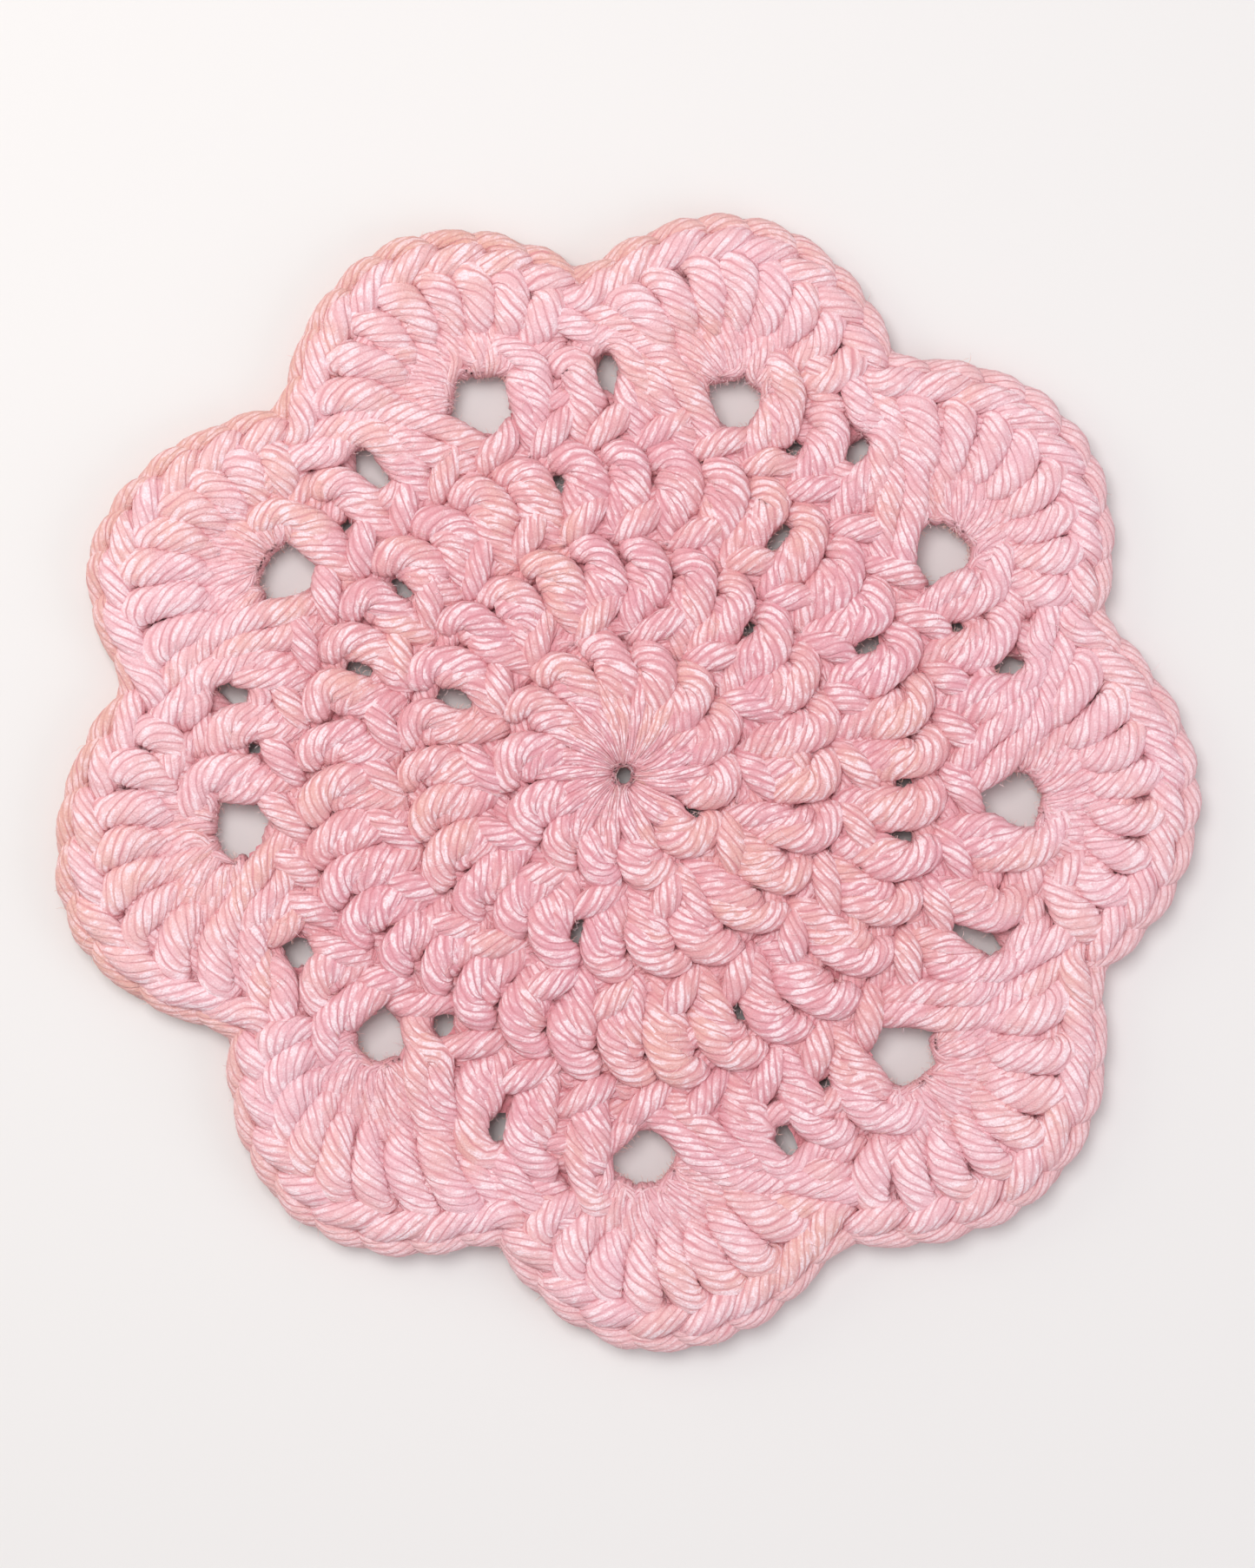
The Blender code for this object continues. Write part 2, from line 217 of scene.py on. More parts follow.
roundFit = {
    "firstFoot": 4.5,      # the reach of the first round's feet
    "ringInwards": 10.0,   # so that a leg's last point is 0.7 from the middle
    "footGap": 0.3,        # from the top of the round below
    "leanTo": 0.45,        # a post leans from its foot up to this share of its height
    "leanPower": 1.4,
    "chainOut": 1.5,
    "underFrom": 3.0,      # where the first round's own begins, instead of at the top of the round below
    "under": [(0.45, 0), (0.8, 0), (1, 0.4), (1, 2.2)],   # share of the way from foot to top, and outwards
}

# The fourth round around each chain space: each post's two sides and its foot, as bearings. Between the first
# and the third post, a broad slab comes down from under the shell.
fourthRound = {
    "piece": "fourthRound",
    "coils": {
        "first": [longArch, inner, loopLeg],
        "third": [loopArch, inner, loopLeg],
        "fourth": [arch, inner, leg],
    },
    "topReach": {"first": 45.6, "third": 46.6, "fourth": 44.6},   # where the hole's middle is at holeReach
    "holeReach": 41,
    "chainShift": 2,
    "chainOut": 1.0,
    "under": (3.4, 6.0, 8.6),   # outwards from the third round's top
    "underPoints": 8,
    "posts": [
        {"first": (-1.4, 6.6, 3.6), "third": (19.8, 27.0, 22.3), "fourth": (27.8, 35.9, 30.9)},
        {"first": (36.3, 43.7, 40), "third": (58.6, 66.2, 61.3), "fourth": (66.4, 73.9, 68.9)},
        {"first": (74.6, 83, 78.8), "third": (96.3, 105.1, 99.6), "fourth": (106.5, 113.9, 110.3)},
        {"first": (115.8, 123.6, 118.8), "third": (138.5, 147.2, 140.9), "fourth": (147.4, 154.8, 150.7)},
        {"first": (156.4, 165.3, 160.5), "third": (182, 189.1, 185.4), "fourth": (190.6, 198.7, 194.7)},
        {"first": (200.3, 208.5, 203.7), "third": (226.4, 232.2, 228.5), "fourth": (232.3, 239.2, 234.5)},
        {"first": (243.5, 252.4, 249.5), "third": (265.8, 273, 269.1), "fourth": (273.5, 281.5, 278)},
        {"first": (282.5, 290.9, 286.8), "third": (304.2, 311.3, 306.5), "fourth": (312.6, 319.5, 316.5)},
        {"first": (321.5, 328.3, 325.2), "third": (343.3, 349.8, 344.6), "fourth": (350.5, 357.5, 353.3)},
    ],
    # the slab's two strands: degrees and reach from the hole's middle, height
    "slabs": [
        [(-21, 6.6, 2.4), (-16.5, 5.4, 3.0), (-12.3, 4.0, 3.3), (-8.2, 0.9, 3.4),
         (-4.2, -2.3, 3.2), (-2.4, -4.3, 2.8), (-1.4, -6.0, 2.0)],
        [(-19, 3.8, 2.6), (-15.5, 2.8, 3.1), (-12.4, 1.0, 3.4),
         (-9.9, -2.2, 3.3), (-6.5, -4.7, 3.0), (-4.2, -6.3, 2.2)],
    ],
    "slabAcross": 1.6,
}

# The shell of a petal: posts fan out of the hole's outer edge, in degrees from the hole's own bearing.
shell = {
    "posts": 8,
    "fan": (-82, 66),
    "topFrom": 0.03,            # the fan's tops, as shares of the way from notch to notch
    "topTo": 0.97,
    "topInset": 3.4,
    "holeEdge": 0.1,
    "footHalf": 0.52,
    "bend": 0.5,                # how far a post goes straight outwards, as a share of its length
    "under": (0.3, 0.62, 0.92),
    "underAcross": 0.5,
    "coils": [
        {"across": 1.65, "up": 1.45, "line": [
            (-1.0, 0.8, 1.8, 0.5), (-0.78, 0.88, 2.4, 0.8), (-0.35, 0.91, 3.2, 1.05), (0.06, 0.84, 3.7, 1.2),
            (0.34, 0.7, 3.75, 1.22), (0.42, 0.55, 3.4, 1.08), (0.34, 0.43, 2.7, 0.8), (0.2, 0.35, 1.8, 0.45)]},
        {"across": 1.5, "up": 1.35, "line": [
            (-0.9, 0.56, 1.7, 0.5), (-0.65, 0.64, 2.4, 0.85), (-0.28, 0.65, 2.9, 1.05), (0.0, 0.55, 2.95, 1.1),
            (0.1, 0.42, 2.7, 0.95), (0.05, 0.3, 2.0, 0.6)]},
        {"across": 1.4, "twist": 16, "line": [
            (-0.5, 0.5, 1.8), (-0.55, 0.4, 2.4), (-0.48, 0.28, 2.7), (-0.45, 0.15, 2.75),
            (-0.5, 0.07, 2.7), (-0.55, 0.01, 2.5), (-0.55, -0.02, 2.0), (-0.55, -0.02, 1.2)]},
        {"across": 1.3, "twist": 16, "line": [
            (0.0, 0.42, 1.8), (0.0, 0.33, 2.5), (0.05, 0.2, 2.8), (0.1, 0.08, 2.75),
            (0.1, 0.01, 2.5), (0.1, -0.02, 2.0), (0.1, -0.02, 1.2)]},
        {"across": 1.3, "twist": 16, "line": [
            (0.4, 0.46, 1.8), (0.55, 0.36, 2.4), (0.65, 0.2, 2.65), (0.75, 0.07, 2.65),
            (0.75, 0.01, 2.4), (0.75, -0.02, 1.9), (0.75, -0.02, 1.2)]},
    ],
}

# The chain along a petal's rim: for each stitch one leaning loop on the face and two along the outer edge.
# A loop's points are along in stitches, outwards from the outline, height and swell.
rim = {
    "stitches": 8,
    "twistLength": 14,
    "alongShake": 0.07,
    "outwardsShake": 0.09,
    "heightShake": 0.1,
    "loop": {"across": 1.4, "up": 1.4, "line": [
        (-0.8, -4.6, 1.8, 0.35), (-0.55, -4.55, 2.7, 0.8), (-0.2, -4.1, 3.45, 1.1), (0.15, -3.45, 3.7, 1.18),
        (0.48, -2.8, 3.4, 1.05), (0.75, -2.35, 2.7, 0.75), (0.95, -2.2, 1.9, 0.4)]},
    "edgeLoops": [
        {"across": 1.15, "up": 1.05, "line": [
            (-0.85, -2.6, 1.7, 0.45), (-0.55, -1.75, 2.15, 0.85), (-0.15, -1.25, 2.6, 1.05),
            (0.25, -1.2, 2.95, 1.05), (0.6, -1.6, 3.05, 0.9), (0.95, -2.5, 2.7, 0.45)]},
        {"across": 1.1, "up": 1.0, "line": [
            (-0.95, -2.5, 2.0, 0.45), (-0.65, -1.6, 1.55, 0.85), (-0.25, -1.15, 1.15, 1.0),
            (0.15, -1.1, 1.08, 1.0), (0.5, -1.5, 1.3, 0.85), (0.85, -2.5, 1.8, 0.45)]},
    ],
}

# The short stitch that ties a petal down: degrees from the notch, reach from the notch's own, height.
tie = {"across": 1.6, "loops": [
    [(-5.4, -3.6, 2.4), (-4.2, -4.3, 3.1), (-2.4, -5.4, 3.5), (-0.7, -6.6, 3.55),
     (1.2, -7.8, 3.4), (2.8, -8.8, 3.0), (3.8, -9.5, 2.2)],
    [(-1.6, -3.4, 2.2), (0.4, -4.3, 3.0), (2.4, -5.2, 3.3),
     (4.4, -6.0, 3.3), (6.2, -7.0, 2.8), (7.0, -7.6, 2.2)],
]}


def polar(bearing, reach):
    angle = np.radians(bearing)
    return np.stack((reach * np.sin(angle), reach * np.cos(angle)), axis=-1)


def clockwise(bearing):  # unit step round the middle
    angle = np.radians(bearing)
    return np.stack((np.cos(angle), -np.sin(angle)), axis=-1)


def outlineReach(bearing):
    # a cosine arch from each petal's tip down to the notch on either side
    for number, petal in enumerate(petals):
        before = petals[number - 1]
        offset = (bearing - petal["tip"] + 180) % 360 - 180
        right = (petal["notch"] - petal["tip"]) % 360
        left = (petal["tip"] - before["notch"]) % 360
        if 0 <= offset <= right:
            share, notch = offset / right, petal["notchReach"]
        elif -left <= offset < 0:
            share, notch = -offset / left, before["notchReach"]
        else:
            continue
        return notch + (petal["tipReach"] - notch) * math.cos(share * math.pi / 2)
    raise ValueError("bearing outside every petal")


def rimPoint(bearing, outwards):
    return polar(bearing, outlineReach(bearing % 360) + outwards)


# The ring's place in the frame, from the solid's box and the box of the same outline.
outlineStep = 2 / 3  # degrees
outline = np.array([rimPoint(bearing, 0) for bearing in np.arange(0, 360, outlineStep)])
boxLow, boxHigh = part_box(coasterNode)
ringPlace = np.array(((boxLow + boxHigh) / 2)[:2]) / mm - (outline.max(axis=0) + outline.min(axis=0)) / 2


def gapCorners(bearing, reach, length, width):
    # an oval opening as a ring of corners
    length, width = length * gapFit["length"], width * gapFit["width"]
    turn = np.arange(gapFit["corners"]) * 2 * math.pi / gapFit["corners"]
    return polar(bearing, reach) + length / 2 * np.cos(turn)[:, None] * polar(bearing, 1) \
        + width / 2 * np.sin(turn)[:, None] * clockwise(bearing)


holeCorners = [polar(*np.array(petal["hole"]).T) for petal in petals]
openings = [corners.mean(axis=0) + (corners - corners.mean(axis=0)) * gapFit["hole"] for corners in holeCorners]
openings += [gapCorners(*gap) for gap in gaps]
openingMiddles = np.array([corners.mean(axis=0) for corners in openings])
openingReach = np.array([np.linalg.norm(c - m, axis=1).max() for c, m in zip(openings, openingMiddles)])


def edgeDistance(places, corners):
    # distance to the ring of corners, less than 0 inside it, and the unit step away from it
    start, end = corners[None], np.roll(corners, -1, axis=0)[None]
    edge, away = end - start, places[:, None] - start
    share = np.clip((away * edge).sum(axis=2) / (edge ** 2).sum(axis=2), 0, 1)
    apart = away - share[..., None] * edge
    distances = np.linalg.norm(apart, axis=2)
    rows = np.arange(len(places))
    nearest = distances.argmin(axis=1)
    inside = ((start[..., 1] > places[:, None, 1]) != (end[..., 1] > places[:, None, 1])) & (
        away[..., 0] < edge[..., 0] * away[..., 1] / np.where(edge[..., 1] == 0, 1e-9, edge[..., 1]))
    inside = inside.sum(axis=1) % 2 == 1
    sign = np.where(inside, -1, 1)
    nearestDistance = distances[rows, nearest]
    step = apart[rows, nearest] / np.maximum(nearestDistance, 1e-6)[:, None]
    return sign * nearestDistance, sign[:, None] * step


def inOpening(places, margin):
    # which places lie in an opening, or nearer to one than the margin
    found = np.zeros(len(places), bool)
    for corners, middle, reach in zip(openings, openingMiddles, openingReach):
        near = np.flatnonzero(np.linalg.norm(places - middle, axis=1) < reach + margin)
        distance, _ = edgeDistance(places[near], corners)
        found[near[distance < margin]] = True
    return found


# How deep inside an opening, and how far beyond its edge, a strand is moved.
clearing = {"inside": 2.6, "outside": 0.3}


def pushFromOpenings(places, radii):
    # moves a strand's plan points until the strand's side just clears every opening
    apart = np.linalg.norm(places[:, None] - openingMiddles, axis=2) - openingReach
    near = apart < radii[:, None] + clearing["outside"]
    for number in np.flatnonzero(near.any(axis=0)):
        distance, step = edgeDistance(places, openings[number])
        low, high = -clearing["inside"], radii + clearing["outside"]
        share = np.clip((distance - low) / (high - low), 0, 1)
        wanted = radii + clearing["outside"] * share
        places = places + np.where(distance < high, wanted - distance, 0)[:, None] * step
    return places


def goRoundOpenings(places, radii):
    # a strand that would cross an opening passes it on the nearer side, in a smooth bow
    for corners, middle, reach in zip(openings, openingMiddles, openingReach):
        if np.linalg.norm(places - middle, axis=1).min() > reach:
            continue
        inside = np.flatnonzero(edgeDistance(places, corners)[0] < 0)
        if not len(inside) or len(places) < 2:
            continue
        along = places[min(inside[-1] + 1, len(places) - 1)] - places[max(inside[0] - 1, 0)]
        along = along / np.linalg.norm(along)
        beside = np.array((-along[1], along[0]))
        beside = beside if ((places[inside] - middle) @ beside).mean() > 0 else -beside
        away, sides = places - middle, corners - middle
        share = away @ along / (np.abs(sides @ along).max() + radii)
        wanted = ((sides @ beside).max() + radii) * np.sqrt(np.clip(1 - share ** 2, 0, 1))
        places = places + np.maximum(wanted - away @ beside, 0)[:, None] * (np.abs(share) < 1)[:, None] * beside
    return places


def smoothLine(points, step):
    # an even sampling of the smooth curve through the points, one row for each sample
    points = np.asarray(points, float)
    p = np.vstack((2 * points[0] - points[1], points, 2 * points[-1] - points[-2]))
    a, b, c, d = (q[:, None] for q in (p[:-3], p[1:-2], p[2:-1], p[3:]))
    t = np.linspace(0, 1, yarn["curveSteps"], endpoint=False)[None, :, None]
    curve = 2 * b + (c - a) * t + (2 * a - 5 * b + 4 * c - d) * t ** 2 + (3 * b - a - 3 * c + d) * t ** 3
    curve = np.vstack((curve.reshape(-1, points.shape[1]) / 2, points[-1]))
    run = np.concatenate(([0], np.cumsum(np.linalg.norm(np.diff(curve[:, :3], axis=0), axis=1))))
    count = max(yarn["fewestRings"], int(round(run[-1] / step)) + 1)
    even = np.linspace(0, run[-1], count)
    return even, np.stack([np.interp(even, run, column) for column in curve.T], axis=1)


shake = random.Random(yarn["seed"])
strands = {}


def addStrand(piece, line, step=yarn["frontStep"], twist=yarn["twistLength"]):
    # the line's points are x, y, height, half width and half height
    strands.setdefault(piece, []).append((np.array(line, float), step, twist))


def stepOf(back):  # the back's strands are a little coarser
    return yarn["backStep"] if back else yarn["frontStep"]


def heightOf(height, back):  # the back is the front, mirrored through the middle of the cloth
    return yarn["clothThickness"] - height if back else height


def shaken(most):
    return shake.uniform(-1, 1) * most


def addCoils(piece, patch, coils):
    # the patch turns across and along into a plan point and the half width there; both faces get every coil
    for coil in coils:
        for back in (False, True):
            thick = coil["across"] * (1 + shaken(yarn["radiusShake"]))
            lift = shaken(yarn["heightShake"])
            line = []
            for across, along, height, *swell in coil["line"]:
                swell = swell[0] if swell else 1
                across += shaken(yarn["sideShake"])
                along += shaken(yarn["alongShake"])
                place, half = patch(-across if back else across, along)
                widest = yarn["squeeze"] * half * coil.get("share", 1)
                squeezed = max(min(thick * swell, widest), yarn["thinnest"])
                line.append((*place, heightOf(height + lift, back), squeezed, coil.get("up", yarn["up"])))
            addStrand(piece, line, stepOf(back), coil.get("twist", yarn["twistLength"]))


def roundPatch(low, high, foot, footReach, topReach, inwards=None):
    # one post's cell: its foot may stand to one side of it; inwards is the cell's length below the foot
    middle, half = (low + high) / 2, (high - low) / 2
    shift = foot - middle

    def patch(across, along):
        reach = footReach + along * (inwards if inwards and along < 0 else topReach - footReach)
        leaning = min(max(1 - along / roundFit["leanTo"], 0), 1) ** roundFit["leanPower"]
        bearing = middle + across * half + shift * leaning
        return polar(bearing, reach), math.radians(half) * reach
    return patch


def addChainLoop(piece, at, reach, loop=chainLoop):
    middle, side, outwards = polar(at, reach), clockwise(at), polar(at, 1)
    for back in (False, True):
        line = []
        for along, out, height, swell in loop["line"]:
            place = middle + side * (-along if back else along) + outwards * out
            height += shaken(yarn["heightShake"])
            line.append((*place, heightOf(height, back), loop["across"] * swell, yarn["up"]))
        addStrand(piece, line, stepOf(back))


def topOf(plain, bearing):
    bearings, reaches = np.array(plain["tops"]).T
    return float(np.interp(bearing % 360, bearings, reaches, period=360))


def makePlainRound(number):
    plain = plainRounds[number]
    piece, splits, shifts = plain["piece"], plain["splits"], plain["footShifts"]
    for k, low in enumerate(splits):
        high = low + (splits[(k + 1) % len(splits)] - low) % 360
        middle = (low + high) / 2
        foot = middle + shifts[(k + plain["firstShift"]) % len(shifts)]
        footReach, inwards = roundFit["firstFoot"], roundFit["ringInwards"]
        if number:
            footReach, inwards = topOf(plainRounds[number - 1], foot) + roundFit["footGap"], None
        addCoils(piece, roundPatch(low, high, foot, footReach, topOf(plain, middle), inwards), plain["coils"])
        at = low + plain["chainShift"]
        addChainLoop(piece, at, topOf(plain, at) + roundFit["chainOut"])
    for share, extra in roundFit["under"]:
        count = int(2 * math.pi * topOf(plain, 0) / underYarn["every"])
        places = []
        for bearing in (360 * i / count for i in range(count)):
            below = topOf(plainRounds[number - 1], bearing) if number else roundFit["underFrom"]
            places.append(polar(bearing, below + share * (topOf(plain, bearing) - below) + extra))
        addUnderYarn(piece, places, True)


def addUnderYarn(piece, places, closed=False):
    # a strand with a small seeded wave, in the middle of the cloth, broken off wherever an opening is
    line = [(*(p + [shaken(underYarn["wave"]) for _ in p]), 0) for p in places]
    if closed:
        line.append(line[0])
    plan = smoothLine(line, underYarn["planStep"])[1][:, :2]
    runs = [[]]
    for place, blocked in zip(plan, inOpening(plan, underYarn["across"] * underYarn["clearShare"])):
        if blocked:
            runs.append([])
        else:
            runs[-1].append((*place, underYarn["height"], underYarn["across"], underYarn["up"]))
    for run in runs:
        if len(run) > 2:
            addStrand(piece, run, yarn["underStep"])


def makeFourthRound(number, holeBearing, holeReach):
    piece, below = fourthRound["piece"], plainRounds[-1]
    posts = fourthRound["posts"][number]
    for name, coils in fourthRound["coils"].items():
        low, high, foot = posts[name]
        footReach = topOf(below, foot) + roundFit["footGap"]
        topReach = fourthRound["topReach"][name] + holeReach - fourthRound["holeReach"]
        addCoils(piece, roundPatch(low, high, foot, footReach, topReach), coils)
        if name != "first":
            at = (low + high) / 2 + fourthRound["chainShift"]
            addChainLoop(piece, at, topReach + fourthRound["chainOut"], topLoop)
    low, high = posts["first"][0], posts["fourth"][1]
    for out in fourthRound["under"]:
        bearings = np.linspace(low, high, fourthRound["underPoints"])
        addUnderYarn(piece, [polar(b, topOf(below, b) + out) for b in bearings])
    for slab in fourthRound["slabs"]:
        for back in (False, True):
            line = []
            for degrees, out, height in slab:
                place = polar(holeBearing + degrees, holeReach + out)
                height = heightOf(height + shaken(yarn["heightShake"]), back)
                line.append((*place, height, fourthRound["slabAcross"], yarn["up"]))
            addStrand(piece, line, stepOf(back))


def holeEdge(corners, middle, bearing):
    # how far the hole's edge lies from its middle, that way
    bearings = np.degrees(np.arctan2(*(corners - middle).T)) % 360
    reaches = np.linalg.norm(corners - middle, axis=1)
    order = bearings.argsort()
    return float(np.interp(bearing % 360, bearings[order], reaches[order], period=360))


def shellPatch(foot, top, footSide, topSide, outwards):
    # a curved cell: it leaves the hole straight outwards and ends at the rim
    bend = foot + outwards * shell["bend"] * np.linalg.norm(top - foot)

    def patch(across, along):
        middle = (1 - along) ** 2 * foot + 2 * along * (1 - along) * bend + along ** 2 * top
        if along < 0:
            middle = foot + outwards * along * np.linalg.norm(top - foot)
        side = footSide + (topSide - footSide) * min(max(along, 0), 1)
        return middle + side * across, float(np.linalg.norm(side))
    return patch


def makePetal(number, corners, middle, holeBearing):
    piece, petal = f"petal{number + 1}", petals[number]
    start = petals[number - 1]["notch"]
    span = (petal["notch"] - start) % 360
    makeShell(piece, corners, middle, holeBearing, start, span)
    for loop in tie["loops"]:
        for back in (False, True):
            line = []
            for degrees, outwards, height in loop:
                place = polar(petal["notch"] + degrees, petal["notchReach"] + outwards)
                line.append((*place, heightOf(height, back), tie["across"], yarn["up"]))
            addStrand(piece, line, stepOf(back))
    for k in range(rim["stitches"]):
        for back in (False, True):
            addRimLoop("rimChain", rim["loop"], start, span, k, back)
        for loop in rim["edgeLoops"]:
            addRimLoop("rimEdge", loop, start, span, k, False)


def makeShell(piece, corners, middle, holeBearing, start, span):
    count = shell["posts"]
    under = [[] for _ in shell["under"]]
    for k in range(count):
        share = (k + 0.5) / count
        fan = holeBearing + shell["fan"][0] + share * (shell["fan"][1] - shell["fan"][0])
        at = start + span * (shell["topFrom"] + (shell["topTo"] - shell["topFrom"]) * share)
        foot = middle + polar(fan, holeEdge(corners, middle, fan) + shell["holeEdge"])
        top = rimPoint(at, -shell["topInset"])
        step = (rimPoint(at + 1, -shell["topInset"]) - rimPoint(at - 1, -shell["topInset"])) / 2
        footSide, topSide = clockwise(fan) * shell["footHalf"], step * span / count / 2
        patch = shellPatch(foot, top, footSide, topSide, polar(fan, 1))
        addCoils(piece, patch, shell["coils"])
        for line, along in zip(under, shell["under"]):
            line.append(patch(shell["underAcross"], along)[0])
    for line in under:
        addUnderYarn(piece, line)


def addRimLoop(name, loop, start, span, stitch, back):
    shift, lift = shaken(rim["alongShake"]), shaken(rim["heightShake"])
    line = []
    for along, outwards, height, swell in loop["line"]:
        outwards += shaken(rim["outwardsShake"])
        along = stitch + (1 - along if back else along) + shift
        place = rimPoint(start + span * along / rim["stitches"], outwards)
        line.append((*place, heightOf(height, back) + lift, loop["across"] * swell, loop["up"] * min(swell, 1)))
    addStrand(name, line, stepOf(back), rim["twistLength"])


# Short strands laid wherever the ground would show bare between the stitches.
filler = {
    "grid": 0.7,                # between two spots that are looked at
    "search": 2.4,
    "sampleStep": 0.8,          # along the strands that may cover a spot
    "shownFrom": 2.2,           # only strands above this height count
    "cover": 0.85,
    "inset": 3.0,               # no spots this near the outline, or this near the middle
    "fromMiddle": 2.5,
    "spotMargin": 0.5,          # from an opening, for a spot and for a whole strand
    "strandMargin": 0.6,
    "reach": 3.2,               # spots this near one another share a strand
    "clears": 1.5,
    "halves": (2.7, 1.9, 1.3),  # a strand's half length, as long as it can be
    "coursePoints": 9,          # looked at along it
    "across": 1.3,
    "line": [(-1, 1.9, 0.4), (-0.55, 2.6, 0.85), (0, 2.9, 1.1), (0.55, 2.6, 0.85), (1, 1.9, 0.4)],
    "fourthFrom": 36,           # this far out, a strand belongs to the fourth round
}


def coverSamples(back):
    # plan points and half widths along every strand that shows on one face
    samples = []
    for lines in strands.values():
        for points, _, _ in lines:
            _, line = smoothLine(points, filler["sampleStep"])
            line = line[heightOf(line[:, 2], back) > filler["shownFrom"]]
            if len(line):
                radii = line[:, 3] * yarn["clearShare"]
                plan = pushFromOpenings(goRoundOpenings(line[:, :2], radii), radii)
                samples.append(np.column_stack((plan, line[:, 3])))
    return np.vstack(samples)


def findBareSpots(back):
    samples = coverSamples(back)
    tree = kdtree.KDTree(len(samples))
    for i, (x, y, _) in enumerate(samples):
        tree.insert((x, y, 0), i)
    tree.balance()
    far = max(petal["tipReach"] for petal in petals)
    steps = np.arange(-far, far, filler["grid"])
    spots = np.array([(x, y) for x in steps for y in steps if filler["fromMiddle"] < math.hypot(x, y) < far])
    bearings = np.degrees(np.arctan2(spots[:, 0], spots[:, 1])) % 360
    within = np.array([outlineReach(b) - filler["inset"] for b in bearings]) > np.linalg.norm(spots, axis=1)
    spots = spots[within & ~inOpening(spots, filler["spotMargin"])]
    covered = samples[:, 2] * filler["cover"]
    return spots[[
        all(apart > covered[i] for _, i, apart in tree.find_range((x, y, 0), filler["search"]))
        for x, y in spots]]


def fillBareSpots(back):
    # lays a leaf-shaped strand along each row of bare spots on one face
    spots = findBareSpots(back)
    laid = 0
    while len(spots):
        near = spots[np.linalg.norm(spots - spots[0], axis=1) < filler["reach"]]
        middle = near.mean(axis=0)
        spread = near - middle
        _, directions = np.linalg.eigh(spread.T @ spread + np.eye(2) * 1e-3)
        along = directions[:, 1] if len(near) > 2 else clockwise(math.degrees(math.atan2(*middle)))
        for half in filler["halves"]:
            course = middle + np.linspace(-half, half, filler["coursePoints"])[:, None] * along
            if not inOpening(course, filler["strandMargin"]).any():
                break
        else:  # every length would cross an opening
            spots = spots[1:]
            continue
        line = []
        for share, height, swell in filler["line"]:
            place = middle + along * share * half
            line.append((*place, heightOf(height, back), filler["across"] * swell, yarn["up"]))
        inner = np.linalg.norm(middle) < filler["fourthFrom"]
        addStrand("thirdRound" if inner else "fourthRound", line, stepOf(back))
        laid += 1
        away = spots - middle
        beside = np.linalg.norm(away - np.clip(away @ along, -half, half)[:, None] * along, axis=1)
        spots = spots[(beside > filler["clears"]) & (np.arange(len(spots)) > 0)]
    return laid


def sweepStrands(lines):
    # one twisted tube for each line, drawn in at both ends: vertices, quads, and each corner's ply number
    # and place along the strand
    vertices, faces, corners = [], [], []
    first = 0
    columns = 2 * yarn["plies"]
    turn = np.arange(columns) * 2 * math.pi / columns
    crest = np.where(np.arange(columns) % 2 == 0, 1, 1 - yarn["grooveDepth"])
    for number, (points, step, twist) in enumerate(lines):
        run, samples = smoothLine(points, step)
        phase = shake.uniform(0, 2 * math.pi)
        swell = 1 + yarn["swellShare"] * np.sin(run * 2 * math.pi / yarn["swellLength"] + phase)
        centre, across, up = samples[:, :3].copy(), samples[:, 3] * swell, samples[:, 4] * swell
        clear = yarn["clearShare"] + shaken(yarn["clearShake"])
        centre[:, :2] = goRoundOpenings(centre[:, :2], across * clear)
        for _ in range(yarn["clearPasses"]):
            centre[:, :2] = pushFromOpenings(centre[:, :2], across * clear)
            centre[1:-1] = (centre[:-2] + 2 * centre[1:-1] + centre[2:]) / 4
        centre[:, 2] = np.maximum(centre[:, 2], up + yarn["floorGap"])
        tangent = np.gradient(centre, axis=0)
        tangent /= np.linalg.norm(tangent, axis=1)[:, None]
        normal = np.zeros_like(tangent)
        guide = np.cross(tangent[0], (0.3, 0.2, 1))  # any direction across the strand
        for i, direction in enumerate(tangent):  # carried along without turning
            guide = guide - (guide @ direction) * direction
            guide /= np.linalg.norm(guide)
            normal[i] = guide
        second = np.cross(tangent, normal)
        end = np.minimum(run, run[-1] - run) / yarn["tipLength"]
        tip = np.sqrt(1 - (1 - np.clip(end, yarn["tipBlunt"], 1)) ** 2)
        angle = turn[None, :] + (shake.uniform(0, 2 * math.pi) - run * 2 * math.pi / twist)[:, None]
        spread = np.cos(angle)[..., None] * normal[:, None] + np.sin(angle)[..., None] * second[:, None]
        spread = spread * (crest[None, :] * tip[:, None])[..., None]
        spread[..., :2] *= across[:, None, None]
        spread[..., 2] *= up[:, None]
        n = len(centre)
        vertices.append((centre[:, None] + spread).reshape(-1, 3))
        index = first + np.arange(n * columns).reshape(n, columns)
        here, beside = index[:-1], np.roll(index[:-1], -1, axis=1)
        above, aboveBeside = index[1:], np.roll(index[1:], -1, axis=1)
        faces.append(np.stack((here, beside, aboveBeside, above), axis=-1).reshape(-1, 4))
        ply = np.arange(columns + 1) / 2 + 2 * yarn["plies"] * number  # each strand's own stretch of the map
        low, high = run[:-1, None], run[1:, None]
        left, right = np.broadcast_to(ply[:-1], (n - 1, columns)), np.broadcast_to(ply[1:], (n - 1, columns))
        low, high = np.broadcast_to(low, left.shape), np.broadcast_to(high, left.shape)
        uv = np.stack((left, low, right, low, right, high, left, high), axis=-1)
        corners.append(uv.reshape(-1, 2))
        first += n * columns
    return np.vstack(vertices), np.vstack(faces), np.vstack(corners)


